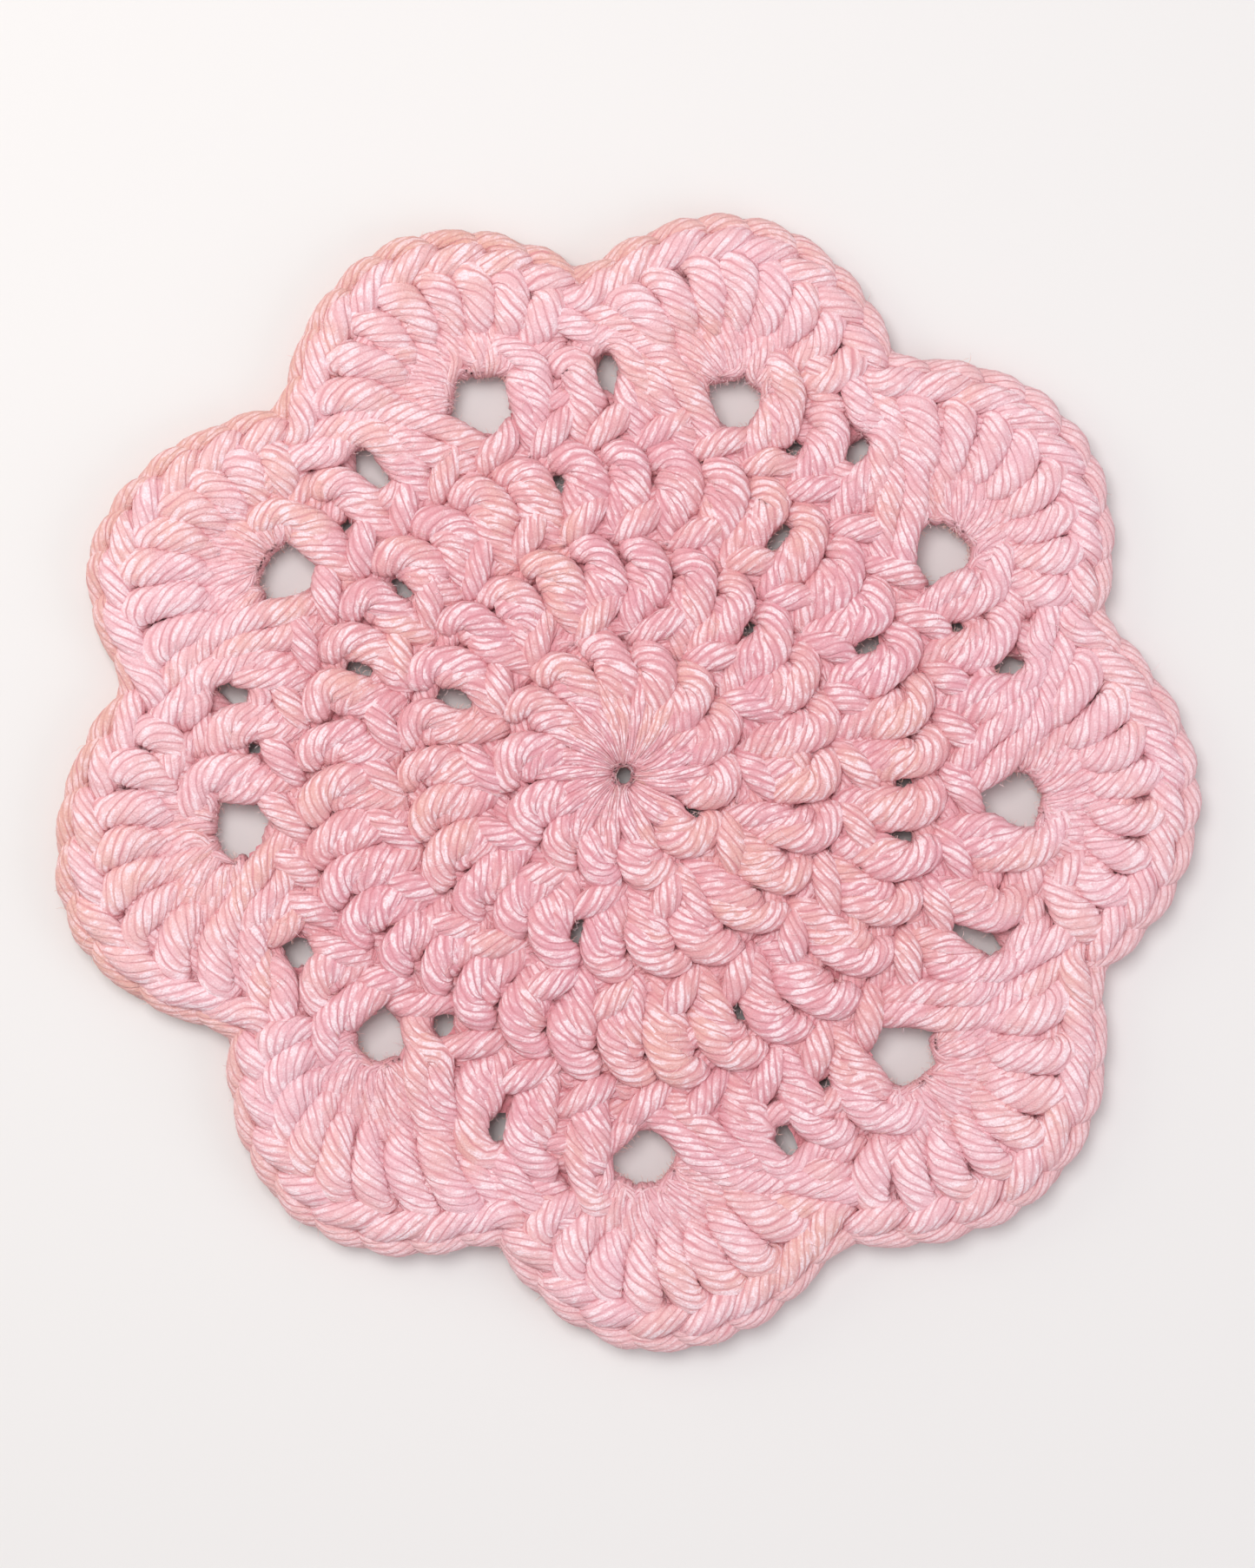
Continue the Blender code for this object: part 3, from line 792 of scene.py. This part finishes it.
def makeMesh(name, vertices, faces):
    # plan millimetres to metres in the frame
    places = vertices.copy()
    places[:, :2] += ringPlace
    mesh = bpy.data.meshes.new(name)
    mesh.vertices.add(len(places))
    mesh.vertices.foreach_set("co", (places * mm).astype(np.float32).ravel())
    mesh.loops.add(faces.size)
    mesh.loops.foreach_set("vertex_index", faces.astype(np.int32).ravel())
    mesh.polygons.add(len(faces))
    mesh.polygons.foreach_set("loop_start", np.arange(0, faces.size, 4, dtype=np.int32))
    mesh.update(calc_edges=True)
    mesh.validate()
    mesh.shade_smooth()
    return mesh


def placePiece(name, mesh, material):
    piece = bpy.data.objects.new(name, mesh)
    bpy.context.scene.collection.objects.link(piece)
    mesh.materials.append(material)
    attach(piece, "root")
    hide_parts(coasterNode)
    return piece


def makeYarnPiece(name, lines, material):
    vertices, faces, corners = sweepStrands(lines)
    mesh = makeMesh(name, vertices, faces)
    layer = mesh.uv_layers.new(name="plyMap")
    layer.data.foreach_set("uv", corners.astype(np.float32).ravel())
    return placePiece(name, mesh, material)


# Single fibres that stand a little off the yarn. Each is a thin three-sided thread, pointed at both ends.
loose = {
    "onFaces": 3000,
    "above": 3.6,            # a face is above or below these heights, and turned up or down at least this far
    "below": 0.7,
    "facing": 0.1,
    "atOpenings": 1500,      # short ones that reach into the openings
    "openingReach": 0.7,     # from an opening's edge
    "openingFacing": 0.7,
    "openingLength": 0.45,   # their share of the length
    "leanOut": 0.8,          # and how far they stand out of the yarn
    "fromMiddle": 5,         # none over the small hole in the ring
    "radius": 0.022,
    "shortest": 0.7,
    "longest": 2.2,
    "stand": 0.16,           # how far the middle of a fibre stands off the yarn, and the least share of that
    "leastStand": 0.3,
    "rooted": 0.03,          # how deep its ends sit
    "curl": 0.35,
    "lowest": 0.05,
    "highest": 5.9,
    "seed": 5,
}


def makeLooseFibres(pieces, material):
    pick = np.random.default_rng(loose["seed"])
    places, outwards = [], []
    for piece in pieces:
        count = len(piece.data.vertices)
        place, normal = np.empty(count * 3, np.float32), np.empty(count * 3, np.float32)
        piece.data.vertices.foreach_get("co", place)
        piece.data.vertices.foreach_get("normal", normal)
        places.append(place.reshape(-1, 3) / mm)
        outwards.append(normal.reshape(-1, 3))
    places, outwards = np.vstack(places), np.vstack(outwards)
    height, upwards = places[:, 2], outwards[:, 2]
    onFace = (height > loose["above"]) & (upwards > loose["facing"])
    onFace |= (height < loose["below"]) & (upwards < -loose["facing"])
    plan = places[:, :2] - ringPlace
    atOpening = inOpening(plan, loose["openingReach"]) & (np.abs(upwards) < loose["openingFacing"])
    atOpening &= np.linalg.norm(plan, axis=1) > loose["fromMiddle"]
    chosen = np.concatenate([
        pick.choice(np.flatnonzero(shown), loose[label], replace=False)
        for label, shown in (("onFaces", onFace), ("atOpenings", atOpening))])
    vertices, faces = [], []
    for number, (start, away) in enumerate(zip(places[chosen], outwards[chosen])):
        along = np.cross(away, pick.normal(size=3))
        along /= np.linalg.norm(along)
        beside = np.cross(away, along)
        length = pick.uniform(loose["shortest"], loose["longest"])
        stand = pick.uniform(loose["leastStand"], 1) * loose["stand"]
        curl = pick.uniform(-1, 1) * loose["curl"]
        if number >= loose["onFaces"]:
            out, flat = loose["leanOut"], math.sqrt(1 - loose["leanOut"] ** 2)
            along, away = along * flat + away * out, away * flat - along * out
            length, curl = length * loose["openingLength"], curl * loose["openingLength"]
        first = len(vertices)  # a point, three rings of three corners, and a point
        for share in (0, 0.25, 0.5, 0.75, 1):
            bow = math.sin(math.pi * share)
            rise = stand * bow - loose["rooted"]
            point = start + along * length * share + away * rise + beside * curl * bow
            point[2] = min(max(point[2], loose["lowest"]), loose["highest"])
            for turn in (0, 1, 2) if 0 < share < 1 else ():
                angle = turn * math.pi * 2 / 3
                side = away * math.cos(angle) + beside * math.sin(angle)
                vertices.append(tuple(point + side * loose["radius"]))
            if share in (0, 1):
                vertices.append(tuple(point))
        for turn in (0, 1, 2):
            here, after = first + 1 + turn, first + 1 + (turn + 1) % 3
            faces.append((first, after, here))
            faces += [(here + ring, after + ring, after + ring + 3, here + ring + 3) for ring in (0, 3)]
            faces.append((here + 6, after + 6, first + 10))
    mesh = bpy.data.meshes.new("looseFibres")
    mesh.from_pydata([(x * mm, y * mm, z * mm) for x, y, z in vertices], [], faces)
    mesh.shade_smooth()
    return placePiece("looseFibres", mesh, material)


# The thin ground between the two faces, where the strands cross and lock.
web = {
    "innerReach": 1.2,
    "inset": 2.4,          # from the outline
    "height": 2.3,
    "columns": 432,
    "rows": 74,
    "wideFrom": 1.7,       # an opening that reaches further than this from its middle keeps the wide margin
    "wideMargin": 1.0,
    "smallMargin": 0.45,
    "snap": 0.3,           # points this near the margin move onto it
    "lump": 0.2,           # a soft unevenness: its height, and its waves outwards and round
    "lumpRows": 1.9,
    "lumpTurns": 36,
}


def makeWeb(material):
    bearings = np.arange(web["columns"]) * 360 / web["columns"]
    rims = np.array([outlineReach(b) for b in bearings]) - web["inset"]
    shares = np.linspace(0, 1, web["rows"])
    reaches = web["innerReach"] + shares[:, None] * (rims - web["innerReach"])[None, :]
    plan = polar(np.broadcast_to(bearings, reaches.shape), reaches).reshape(-1, 2)
    cut = np.zeros(len(plan), bool)
    for corners, centre, far in zip(openings, openingMiddles, openingReach):
        margin = web["wideMargin"] if far > web["wideFrom"] else web["smallMargin"]
        near = np.flatnonzero(np.linalg.norm(plan - centre, axis=1) < far + margin)
        distance, step = edgeDistance(plan[near], corners)
        close = (distance > margin - web["snap"]) & (distance < margin)
        plan[near] += np.where(close, margin - distance, 0)[:, None] * step
        cut[near] |= distance <= margin - web["snap"]
    cut = cut.reshape(reaches.shape)
    plan = plan.reshape(*reaches.shape, 2)
    bm = bmesh.new()
    lumps = np.sin(reaches * web["lumpRows"]) * np.sin(np.radians(bearings)[None, :] * web["lumpTurns"])
    heights = web["height"] + web["lump"] * lumps
    grid = [
        [bm.verts.new((*plan[r, c], heights[r, c])) for c in range(web["columns"])]
        for r in range(web["rows"])]
    for r in range(web["rows"] - 1):
        for c in range(web["columns"]):
            nextColumn = (c + 1) % web["columns"]
            if not (cut[r, c] or cut[r + 1, c] or cut[r + 1, nextColumn] or cut[r, nextColumn]):
                bm.faces.new((grid[r][c], grid[r + 1][c], grid[r + 1][nextColumn], grid[r][nextColumn]))
    bmesh.ops.delete(bm, geom=[vertex for vertex in bm.verts if not vertex.link_faces], context="VERTS")
    area = sum(face.calc_area() for face in bm.faces)
    bmesh.ops.recalc_face_normals(bm, faces=bm.faces)
    for vertex in bm.verts:
        vertex.co.x = (vertex.co.x + ringPlace[0]) * mm
        vertex.co.y = (vertex.co.y + ringPlace[1]) * mm
        vertex.co.z = vertex.co.z * mm
    mesh = bpy.data.meshes.new("innerWeb")
    bm.to_mesh(mesh)
    bm.free()
    mesh.shade_smooth()
    return placePiece("innerWeb", mesh, material), area * mm * mm


def newGroup(name, inputs, outputs):
    group = bpy.data.node_groups.new(name, "ShaderNodeTree")
    for label, value in inputs.items():
        socket = group.interface.new_socket(name=label, in_out="INPUT", socket_type="NodeSocketFloat")
        socket.default_value = value
    for label in outputs:
        group.interface.new_socket(name=label, in_out="OUTPUT", socket_type="NodeSocketFloat")
    return group, group.nodes.new("NodeGroupInput"), group.nodes.new("NodeGroupOutput")


def feed(tree, socket, value):
    if isinstance(value, bpy.types.NodeSocket):
        tree.links.new(value, socket)
    else:
        socket.default_value = value


def maths(tree, operation, *values, clamp=False):
    made = tree.nodes.new("ShaderNodeMath")
    made.operation = operation
    made.use_clamp = clamp
    for socket, value in zip(made.inputs, values):
        feed(tree, socket, value)
    return made.outputs[0]


def multiply(tree, *values, clamp=False):  # only the last product is clamped
    product, *others = values
    for value in others[:-1]:
        product = maths(tree, "MULTIPLY", product, value)
    return maths(tree, "MULTIPLY", product, others[-1], clamp=clamp)


def between(tree, mask, low, high, clamp=False):
    # low where the mask is 0, high where it is 1
    return maths(tree, "MULTIPLY_ADD", mask, high - low, low, clamp=clamp)


def rangeMask(tree, value, low, high):
    made = tree.nodes.new("ShaderNodeMapRange")
    made.interpolation_type = "SMOOTHSTEP"
    for label, setting in (("Value", value), ("From Min", low), ("From Max", high)):
        feed(tree, made.inputs[label], setting)
    return made.outputs["Result"]


def mixColour(tree, share, first, second):
    made = tree.nodes.new("ShaderNodeMix")
    made.data_type = "RGBA"
    feed(tree, made.inputs["Factor"], share)
    feed(tree, made.inputs["A"], first)
    feed(tree, made.inputs["B"], second)
    return made.outputs["Result"]


def vectorMaths(tree, operation, first, second=None):
    made = tree.nodes.new("ShaderNodeVectorMath")
    made.operation = operation
    feed(tree, made.inputs[0], first)
    if second is not None:
        feed(tree, made.inputs[1], second)
    return made


# The pattern of the plies. A streak is its scale across the plies and its length along the strand.
plyPattern = {
    "unevenStreak": (0.8, 2.8),
    "domePower": 0.7,
    "grooveWidth": 0.36,
    "grooveStreak": (0.9, 2.5),
    "grooveDepths": (0.2, 1.0),      # the shallowest and the deepest
    "fibreLength": 0.7,
    "fibreShine": (0.5, 1.05),
    "toneStreak": (1.3, 1.2),
    "toneRange": (0.38, 0.6),
    "toneShine": (0.15, 1.0),
    "patchStreak": (0.35, 2.6),
    "patchRange": (0.36, 0.6),
    "patchShine": (0.28, 1.0),
    "crestRange": (0.05, 0.62),      # the painted highlight lies on a ply's crest
    "strandStreak": (0.031, 14),
    "strandRange": (0.35, 0.65),
    "noiseRange": (0.3, 0.7),
}


def streaks(group, split, acrossScale, length):
    # a noise drawn out along the strand
    stretched = group.nodes.new("ShaderNodeCombineXYZ")
    feed(group, stretched.inputs["X"], maths(group, "MULTIPLY", split.outputs["X"], acrossScale))
    feed(group, stretched.inputs["Y"], maths(group, "MULTIPLY", split.outputs["Y"], 1 / length))
    noise = group.nodes.new("ShaderNodeTexNoise")
    group.links.new(stretched.outputs[0], noise.inputs["Vector"])
    noise.inputs["Scale"].default_value = 1.0
    noise.inputs["Detail"].default_value = 1.0
    return noise.outputs["Fac"]


def makePlyGroup():
    # rounded plies with sharp grooves between them, from the ply number in the strand's own map
    group, given, out = newGroup(
        "twistedPlies", {"Fibres Per Ply": 5.0, "Unevenness": 1.1},
        ("Ply Height", "Groove", "Fibre", "Painted Highlight", "Strand Tone"))
    look = plyPattern
    place = group.nodes.new("ShaderNodeUVMap")
    place.uv_map = "plyMap"
    split = group.nodes.new("ShaderNodeSeparateXYZ")
    group.links.new(place.outputs["UV"], split.inputs[0])
    uneven = maths(group, "SUBTRACT", streaks(group, split, *look["unevenStreak"]), 0.5)
    moved = maths(group, "MULTIPLY_ADD", uneven, given.outputs["Unevenness"], split.outputs["X"])
    within = maths(group, "FRACT", moved)
    crest = multiply(group, maths(group, "ABSOLUTE", maths(group, "SUBTRACT", within, 0.5)), 2)  # 0 in a groove
    dome = maths(group, "POWER", multiply(group, crest, maths(group, "SUBTRACT", 2, crest)), look["domePower"])
    depth = rangeMask(group, streaks(group, split, *look["grooveStreak"]), *look["noiseRange"])
    # the groove mask: painted shade, and roughness, in the grooves between plies
    groove = maths(group, "SUBTRACT", 1, rangeMask(group, crest, 0, look["grooveWidth"]))
    groove = multiply(group, groove, between(group, depth, *look["grooveDepths"]))
    fibre = streaks(group, split, given.outputs["Fibres Per Ply"], look["fibreLength"])
    fibre = rangeMask(group, fibre, *look["noiseRange"])
    tone = rangeMask(group, streaks(group, split, *look["toneStreak"]), *look["toneRange"])
    patch = rangeMask(group, streaks(group, split, *look["patchStreak"]), *look["patchRange"])
    # the painted highlight on each ply's crest, broken up by fibres, tones and patches
    paintedHighlight = multiply(
        group, between(group, fibre, *look["fibreShine"]), between(group, tone, *look["toneShine"]),
        between(group, patch, *look["patchShine"]), rangeMask(group, crest, *look["crestRange"]))
    strandTone = rangeMask(group, streaks(group, split, *look["strandStreak"]), *look["strandRange"])
    feed(group, out.inputs["Ply Height"], dome)
    feed(group, out.inputs["Groove"], groove)
    feed(group, out.inputs["Fibre"], fibre)
    feed(group, out.inputs["Painted Highlight"], paintedHighlight)
    feed(group, out.inputs["Strand Tone"], strandTone)
    return group


def objectNoise(group, place, size, detail):
    # a noise in the piece's own space, of a size in millimetres
    noise = group.nodes.new("ShaderNodeTexNoise")
    group.links.new(place.outputs["Object"], noise.inputs["Vector"])
    feed(group, noise.inputs["Scale"], maths(group, "DIVIDE", 1 / mm, size))
    noise.inputs["Detail"].default_value = detail
    return rangeMask(group, noise.outputs["Fac"], *plyPattern["noiseRange"])


def makeGrainGroup():
    # the mottle of loose cotton fibres, in two sizes
    group, given, out = newGroup("cottonGrain", {"Grain Size": 0.5, "Fineness": 2.5}, ("Grain", "Fine Grain"))
    place = group.nodes.new("ShaderNodeTexCoord")
    size = given.outputs["Grain Size"]
    fineSize = maths(group, "DIVIDE", size, given.outputs["Fineness"])
    feed(group, out.inputs["Grain"], objectNoise(group, place, size, 2.0))
    feed(group, out.inputs["Fine Grain"], objectNoise(group, place, fineSize, 2.0))
    return group


def makeSideGroup():
    # 0 where the surface faces straight up or down, 1 on a strand's steep sides, where shade is painted and the
    # painted highlight is weaker
    group, given, out = newGroup("strandSide", {"From": 0.15, "To": 0.9}, ("Side",))
    surface = group.nodes.new("ShaderNodeNewGeometry")
    split = group.nodes.new("ShaderNodeSeparateXYZ")
    group.links.new(surface.outputs["Normal"], split.inputs[0])
    steep = maths(group, "SUBTRACT", 1, maths(group, "ABSOLUTE", split.outputs["Z"]))
    feed(group, out.inputs["Side"], rangeMask(group, steep, given.outputs["From"], given.outputs["To"]))
    return group


# Where on the coaster the tone changes: the reach at which the rim begins, and how far towards the upper left,
# where a painted warm reflection lies.
placeTones = {"rimRange": (32, 50), "slant": (-0.87, 0.5, 0), "slantRange": (-15, 40)}


def makePlaceGroup():
    # 0 on the outer faces of the cloth and 1 in the middle of its thickness, where painted shade goes; soft
    # clouds, the rim, and the upper left, where a painted warm reflection goes
    group, given, out = newGroup(
        "placeOnCoaster", {"Middle Height": 2.3, "Reach": 2.1, "Cloud Size": 9.0},
        ("Depth", "Cloud", "Towards Rim", "Upper Left"))
    place = group.nodes.new("ShaderNodeTexCoord")
    split = group.nodes.new("ShaderNodeSeparateXYZ")
    group.links.new(place.outputs["Object"], split.inputs[0])
    height = maths(group, "DIVIDE", split.outputs["Z"], mm)
    away = maths(group, "ABSOLUTE", maths(group, "SUBTRACT", height, given.outputs["Middle Height"]))
    depth = maths(group, "SUBTRACT", 1, maths(group, "DIVIDE", away, given.outputs["Reach"]), clamp=True)
    plan = vectorMaths(group, "MULTIPLY", place.outputs["Object"], (1 / mm, 1 / mm, 0)).outputs[0]
    reach = vectorMaths(group, "LENGTH", plan).outputs["Value"]
    slant = vectorMaths(group, "DOT_PRODUCT", plan, placeTones["slant"]).outputs["Value"]
    feed(group, out.inputs["Depth"], depth)
    feed(group, out.inputs["Cloud"], objectNoise(group, place, given.outputs["Cloud Size"], 3.0))
    feed(group, out.inputs["Towards Rim"], rangeMask(group, reach, *placeTones["rimRange"]))
    feed(group, out.inputs["Upper Left"], rangeMask(group, slant, *placeTones["slantRange"]))
    return group


cotton = {
    # painted highlight on the plies' crests; also the loose fibres' own pale colour
    "crest": (1.0, 0.80, 0.85, 1),
    "body": (0.77, 0.355, 0.425, 1),
    # painted shade in the grooves between plies; also the dark of the fine grain and of the ground's clouds
    "groove": (0.68, 0.26, 0.30, 1),
    # painted shade on a strand's steep sides
    "side": (0.77, 0.33, 0.37, 1),
    # painted shade in the depths of the cloth
    "depthShade": (0.72, 0.29, 0.32, 1),
    "cloud": (0.84, 0.48, 0.385, 1),
    "pale": (1.0, 0.73, 0.79, 1),
    "edge": (0.835, 0.54, 0.55, 1),        # the cords along the rim, paler than the body: painted reflection towards the lower right
    "edgeWarmReflection": (0.75, 0.43, 0.33, 1),    # the same cords towards the upper left: painted warm reflection
    # painted shade: the ground between the faces, darker for the shade it lies in
    "inside": (0.74, 0.33, 0.36, 1),
    "rimPaleness": 0.5,                    # how much of a colour shows where its mask is 1
    "cloudShares": (0.15, 0.75),           # from strand to strand
    "sideShadeShare": 0.5,
    "grooveShadeShare": 0.75,
    "fineShare": 0.22,
    "grainShine": (1.0, 2.1),              # the painted highlight is multiplied by these
    "fineShine": (1.25, 0.8),
    "sideShine": (1.0, 0.5),
    "roughest": 0.88,
    "smoothest": 0.62,
    "fibreRough": -0.5,                    # single fibres are smoother, and the grain rougher
    "grainRough": (0.5, 1),
    "sheen": 0.2,
    "sheenRoughness": 0.4,
    "specular": 0.3,
    "fibreBump": 0.3,
    "fineBump": 0.6,
    "bumpDistance": 0.08,
    "insideBump": 0.3,
    "insideCloud": 1.2,
    "fibreGrain": 1.5,
}

# The two cottons. The tints are painted reflection, from the lower right to a warm one at the upper left, and
# tintShare is how much of them shows.
cottons = {
    "pinkCottonYarn": {"tints": ("body", "cloud"), "tintShare": 0.08, "paintedHighlight": 1.0, "depth": 0.65},
    "edgeCottonPaintedReflection": {"tints": ("edge", "edgeWarmReflection"), "tintShare": 0.75, "paintedHighlight": 0.65, "depth": 0.2},
}


def newMaterial(name):
    material = bpy.data.materials.new(name)
    material.use_nodes = True
    tree = material.node_tree
    shader = tree.nodes["Principled BSDF"]
    shader.inputs["Sheen Weight"].default_value = cotton["sheen"]
    shader.inputs["Sheen Roughness"].default_value = cotton["sheenRoughness"]
    shader.inputs["Specular IOR Level"].default_value = cotton["specular"]
    return material, tree, shader


def feedRoughness(tree, shader, roughShare):
    # rough where the mask is 1, smoother where it is 0
    roughness = between(tree, roughShare, cotton["smoothest"], cotton["roughest"], clamp=True)
    feed(tree, shader.inputs["Roughness"], roughness)


def feedBump(tree, shader, height, distance):
    bump = tree.nodes.new("ShaderNodeBump")
    bump.inputs["Distance"].default_value = distance * mm
    tree.links.new(height, bump.inputs["Height"])
    tree.links.new(bump.outputs["Normal"], shader.inputs["Normal"])


def placeGroup(tree, group, **settings):
    made = tree.nodes.new("ShaderNodeGroup")
    made.node_tree = group
    for label, value in settings.items():
        made.inputs[label].default_value = value
    return made.outputs


def makeCotton(name, groups):
    # plied cotton: a painted highlight on each ply's crest, painted shade in the grooves, on the steep sides
    # and in the depths, and a painted reflection tint all over
    look = cottons[name]
    material, tree, shader = newMaterial(name)
    ply, place, side, grain = (placeGroup(tree, group) for group in groups)
    rimPaleness = multiply(tree, place["Towards Rim"], cotton["rimPaleness"])
    colour = mixColour(tree, rimPaleness, cotton["body"], cotton["pale"])
    cloud = multiply(tree, place["Cloud"], between(tree, ply["Strand Tone"], *cotton["cloudShares"]))
    colour = mixColour(tree, cloud, colour, cotton["cloud"])
    # painted shade on the steep sides
    colour = mixColour(tree, multiply(tree, side["Side"], cotton["sideShadeShare"]), colour, cotton["side"])
    # painted reflection: a warm tint towards the upper left, and on the rim cords a paler one towards the lower
    # right
    tint = mixColour(tree, place["Upper Left"], *(cotton[label] for label in look["tints"]))
    colour = mixColour(tree, look["tintShare"], colour, tint)
    # painted highlight: pale on each ply's crest, weaker on the steep sides
    paintedHighlight = multiply(
        tree, ply["Painted Highlight"], between(tree, grain["Grain"], *cotton["grainShine"]),
        between(tree, grain["Fine Grain"], *cotton["fineShine"]),
        between(tree, side["Side"], *cotton["sideShine"]), clamp=True)
    colour = mixColour(tree, multiply(tree, paintedHighlight, look["paintedHighlight"]), colour, cotton["crest"])
    # painted shade in the grooves between plies
    colour = mixColour(tree, multiply(tree, ply["Groove"], cotton["grooveShadeShare"]), colour, cotton["groove"])
    colour = mixColour(tree, multiply(tree, grain["Fine Grain"], cotton["fineShare"]), colour, cotton["groove"])
    # painted shade in the depths of the cloth
    colour = mixColour(tree, multiply(tree, place["Depth"], look["depth"]), colour, cotton["depthShade"])
    feed(tree, shader.inputs["Base Color"], colour)
    grainRough = between(tree, grain["Grain"], *cotton["grainRough"])
    rough = maths(tree, "MULTIPLY_ADD", ply["Fibre"], cotton["fibreRough"], grainRough)
    feedRoughness(tree, shader, maths(tree, "MAXIMUM", rough, ply["Groove"]))
    height = maths(tree, "MULTIPLY_ADD", ply["Fibre"], cotton["fibreBump"], ply["Ply Height"])
    height = maths(tree, "MULTIPLY_ADD", grain["Fine Grain"], cotton["fineBump"], height)
    feedBump(tree, shader, height, cotton["bumpDistance"])
    return material


def makeFibreCotton(grainGroup):
    # the loose fibres: pale, and uneven from one to the next
    material, tree, shader = newMaterial("paleCottonFibre")
    grain = placeGroup(tree, grainGroup, **{"Grain Size": cotton["fibreGrain"]})
    feed(tree, shader.inputs["Base Color"], mixColour(tree, grain["Grain"], cotton["crest"], cotton["cloud"]))
    feedRoughness(tree, shader, grain["Fine Grain"])
    return material


def makeInnerCotton(cloudGroup):
    # the ground between the faces, which shows only in the deepest spots, painted darker for the shade there
    material, tree, shader = newMaterial("pinkCottonInside")
    cloud = placeGroup(tree, cloudGroup, **{"Cloud Size": cotton["insideCloud"]})["Cloud"]
    feed(tree, shader.inputs["Base Color"], mixColour(tree, cloud, cotton["inside"], cotton["groove"]))
    feedRoughness(tree, shader, cloud)
    feedBump(tree, shader, cloud, cotton["insideBump"])
    return material


room = {
    "floorSize": 6000,
    "floorColour": (0.78, 0.77, 0.76, 1),
    "floorRoughness": 0.9,
    "worldColour": (0.95, 0.95, 0.96, 1),
    "worldStrength": 0.54,
}
lights = [
    {"name": "overheadSoftbox", "place": (-120, 160, 520), "size": 300, "watts": 1.79,
     "colour": (1.0, 0.97, 0.97)},
    {"name": "warmFill", "place": (-420, 200, 220), "size": 300, "watts": 0.5, "colour": (1.0, 0.9, 0.78)},
    {"name": "coolFill", "place": (420, -160, 260), "size": 300, "watts": 0.53, "colour": (0.97, 0.93, 1.0)},
]


def makeRoom():
    side = room["floorSize"] / 2 * mm
    mesh = bpy.data.meshes.new("floor")
    corners = [(-side, -side, 0), (side, -side, 0), (side, side, 0), (-side, side, 0)]
    mesh.from_pydata(corners, [], [(0, 1, 2, 3)])
    floor = bpy.data.objects.new("floor", mesh)
    bpy.context.scene.collection.objects.link(floor)
    material = bpy.data.materials.new("paleFloor")
    material.use_nodes = True
    shader = material.node_tree.nodes["Principled BSDF"]
    shader.inputs["Base Color"].default_value = room["floorColour"]
    shader.inputs["Roughness"].default_value = room["floorRoughness"]
    mesh.materials.append(material)
    world = bpy.data.worlds.new("paleRoom")
    world.use_nodes = True
    background = world.node_tree.nodes["Background"]
    background.inputs["Color"].default_value = room["worldColour"]
    background.inputs["Strength"].default_value = room["worldStrength"]
    bpy.context.scene.world = world
    for light in lights:
        data = bpy.data.lights.new(light["name"], "AREA")
        data.size = light["size"] * mm
        data.energy = light["watts"]
        data.color = light["colour"]
        lamp = bpy.data.objects.new(light["name"], data)
        lamp.location = [value * mm for value in light["place"]]
        lamp.rotation_euler = (-lamp.location).to_track_quat("-Z", "Y").to_euler()
        bpy.context.scene.collection.objects.link(lamp)


# The camera looks straight down, like the photo's, and stands so far off that the frame is the photo's.
view = {"lens": 90, "sensor": 36, "nearest": 0.01, "furthest": 20}


def makeCamera():
    data = bpy.data.cameras.new("photoView")
    data.lens = view["lens"]
    data.sensor_width = view["sensor"]
    data.clip_start = view["nearest"]
    data.clip_end = view["furthest"]
    camera = bpy.data.objects.new("photoView", data)
    ringX, ringY = photo["ringPixel"]
    middleX = ringPlace[0] + (photo["width"] / 2 - ringX) * photo["mmPerPixel"]
    middleY = ringPlace[1] - (photo["height"] / 2 - ringY) * photo["mmPerPixel"]
    frameHeight = photo["height"] * photo["mmPerPixel"]
    distance = frameHeight * view["lens"] / view["sensor"]
    camera.location = (middleX * mm, middleY * mm, (distance + yarn["clothThickness"] / 2) * mm)
    bpy.context.scene.collection.objects.link(camera)
    bpy.context.scene.camera = camera


makeCamera()
makeRoom()
print("camera, floor and lights are in place")

for number in range(len(plainRounds)):
    makePlainRound(number)
for number, corners in enumerate(holeCorners):
    middle = (corners.max(axis=0) + corners.min(axis=0)) / 2
    holeBearing = math.degrees(math.atan2(*middle)) % 360
    makeFourthRound(number, holeBearing, float(np.linalg.norm(middle)))
    makePetal(number, corners, middle, holeBearing)
print("rounds and petals are laid")
print("bare spots filled, front and back:", fillBareSpots(False), fillBareSpots(True))
print("strands laid:", sum(len(lines) for lines in strands.values()))

groups = makePlyGroup(), makePlaceGroup(), makeSideGroup(), makeGrainGroup()
yarnCotton, edgeCotton = (makeCotton(name, groups) for name in cottons)
print("cottons are mixed")

yarnPieces = [
    makeYarnPiece(name, lines, edgeCotton if name == "rimEdge" else yarnCotton)
    for name, lines in strands.items()]
yarnPieces.append(makeLooseFibres(yarnPieces, makeFibreCotton(groups[3])))
innerWeb, webArea = makeWeb(makeInnerCotton(groups[1]))
triangles = [
    sum(len(polygon.vertices) - 2 for polygon in piece.data.polygons) for piece in yarnPieces + [innerWeb]]
print("pieces made:", len(triangles), "triangles:", sum(triangles), "most in one:", max(triangles))

scene = bpy.context.scene
scene.view_settings.view_transform = "Standard"
bpy.context.view_layer.update()
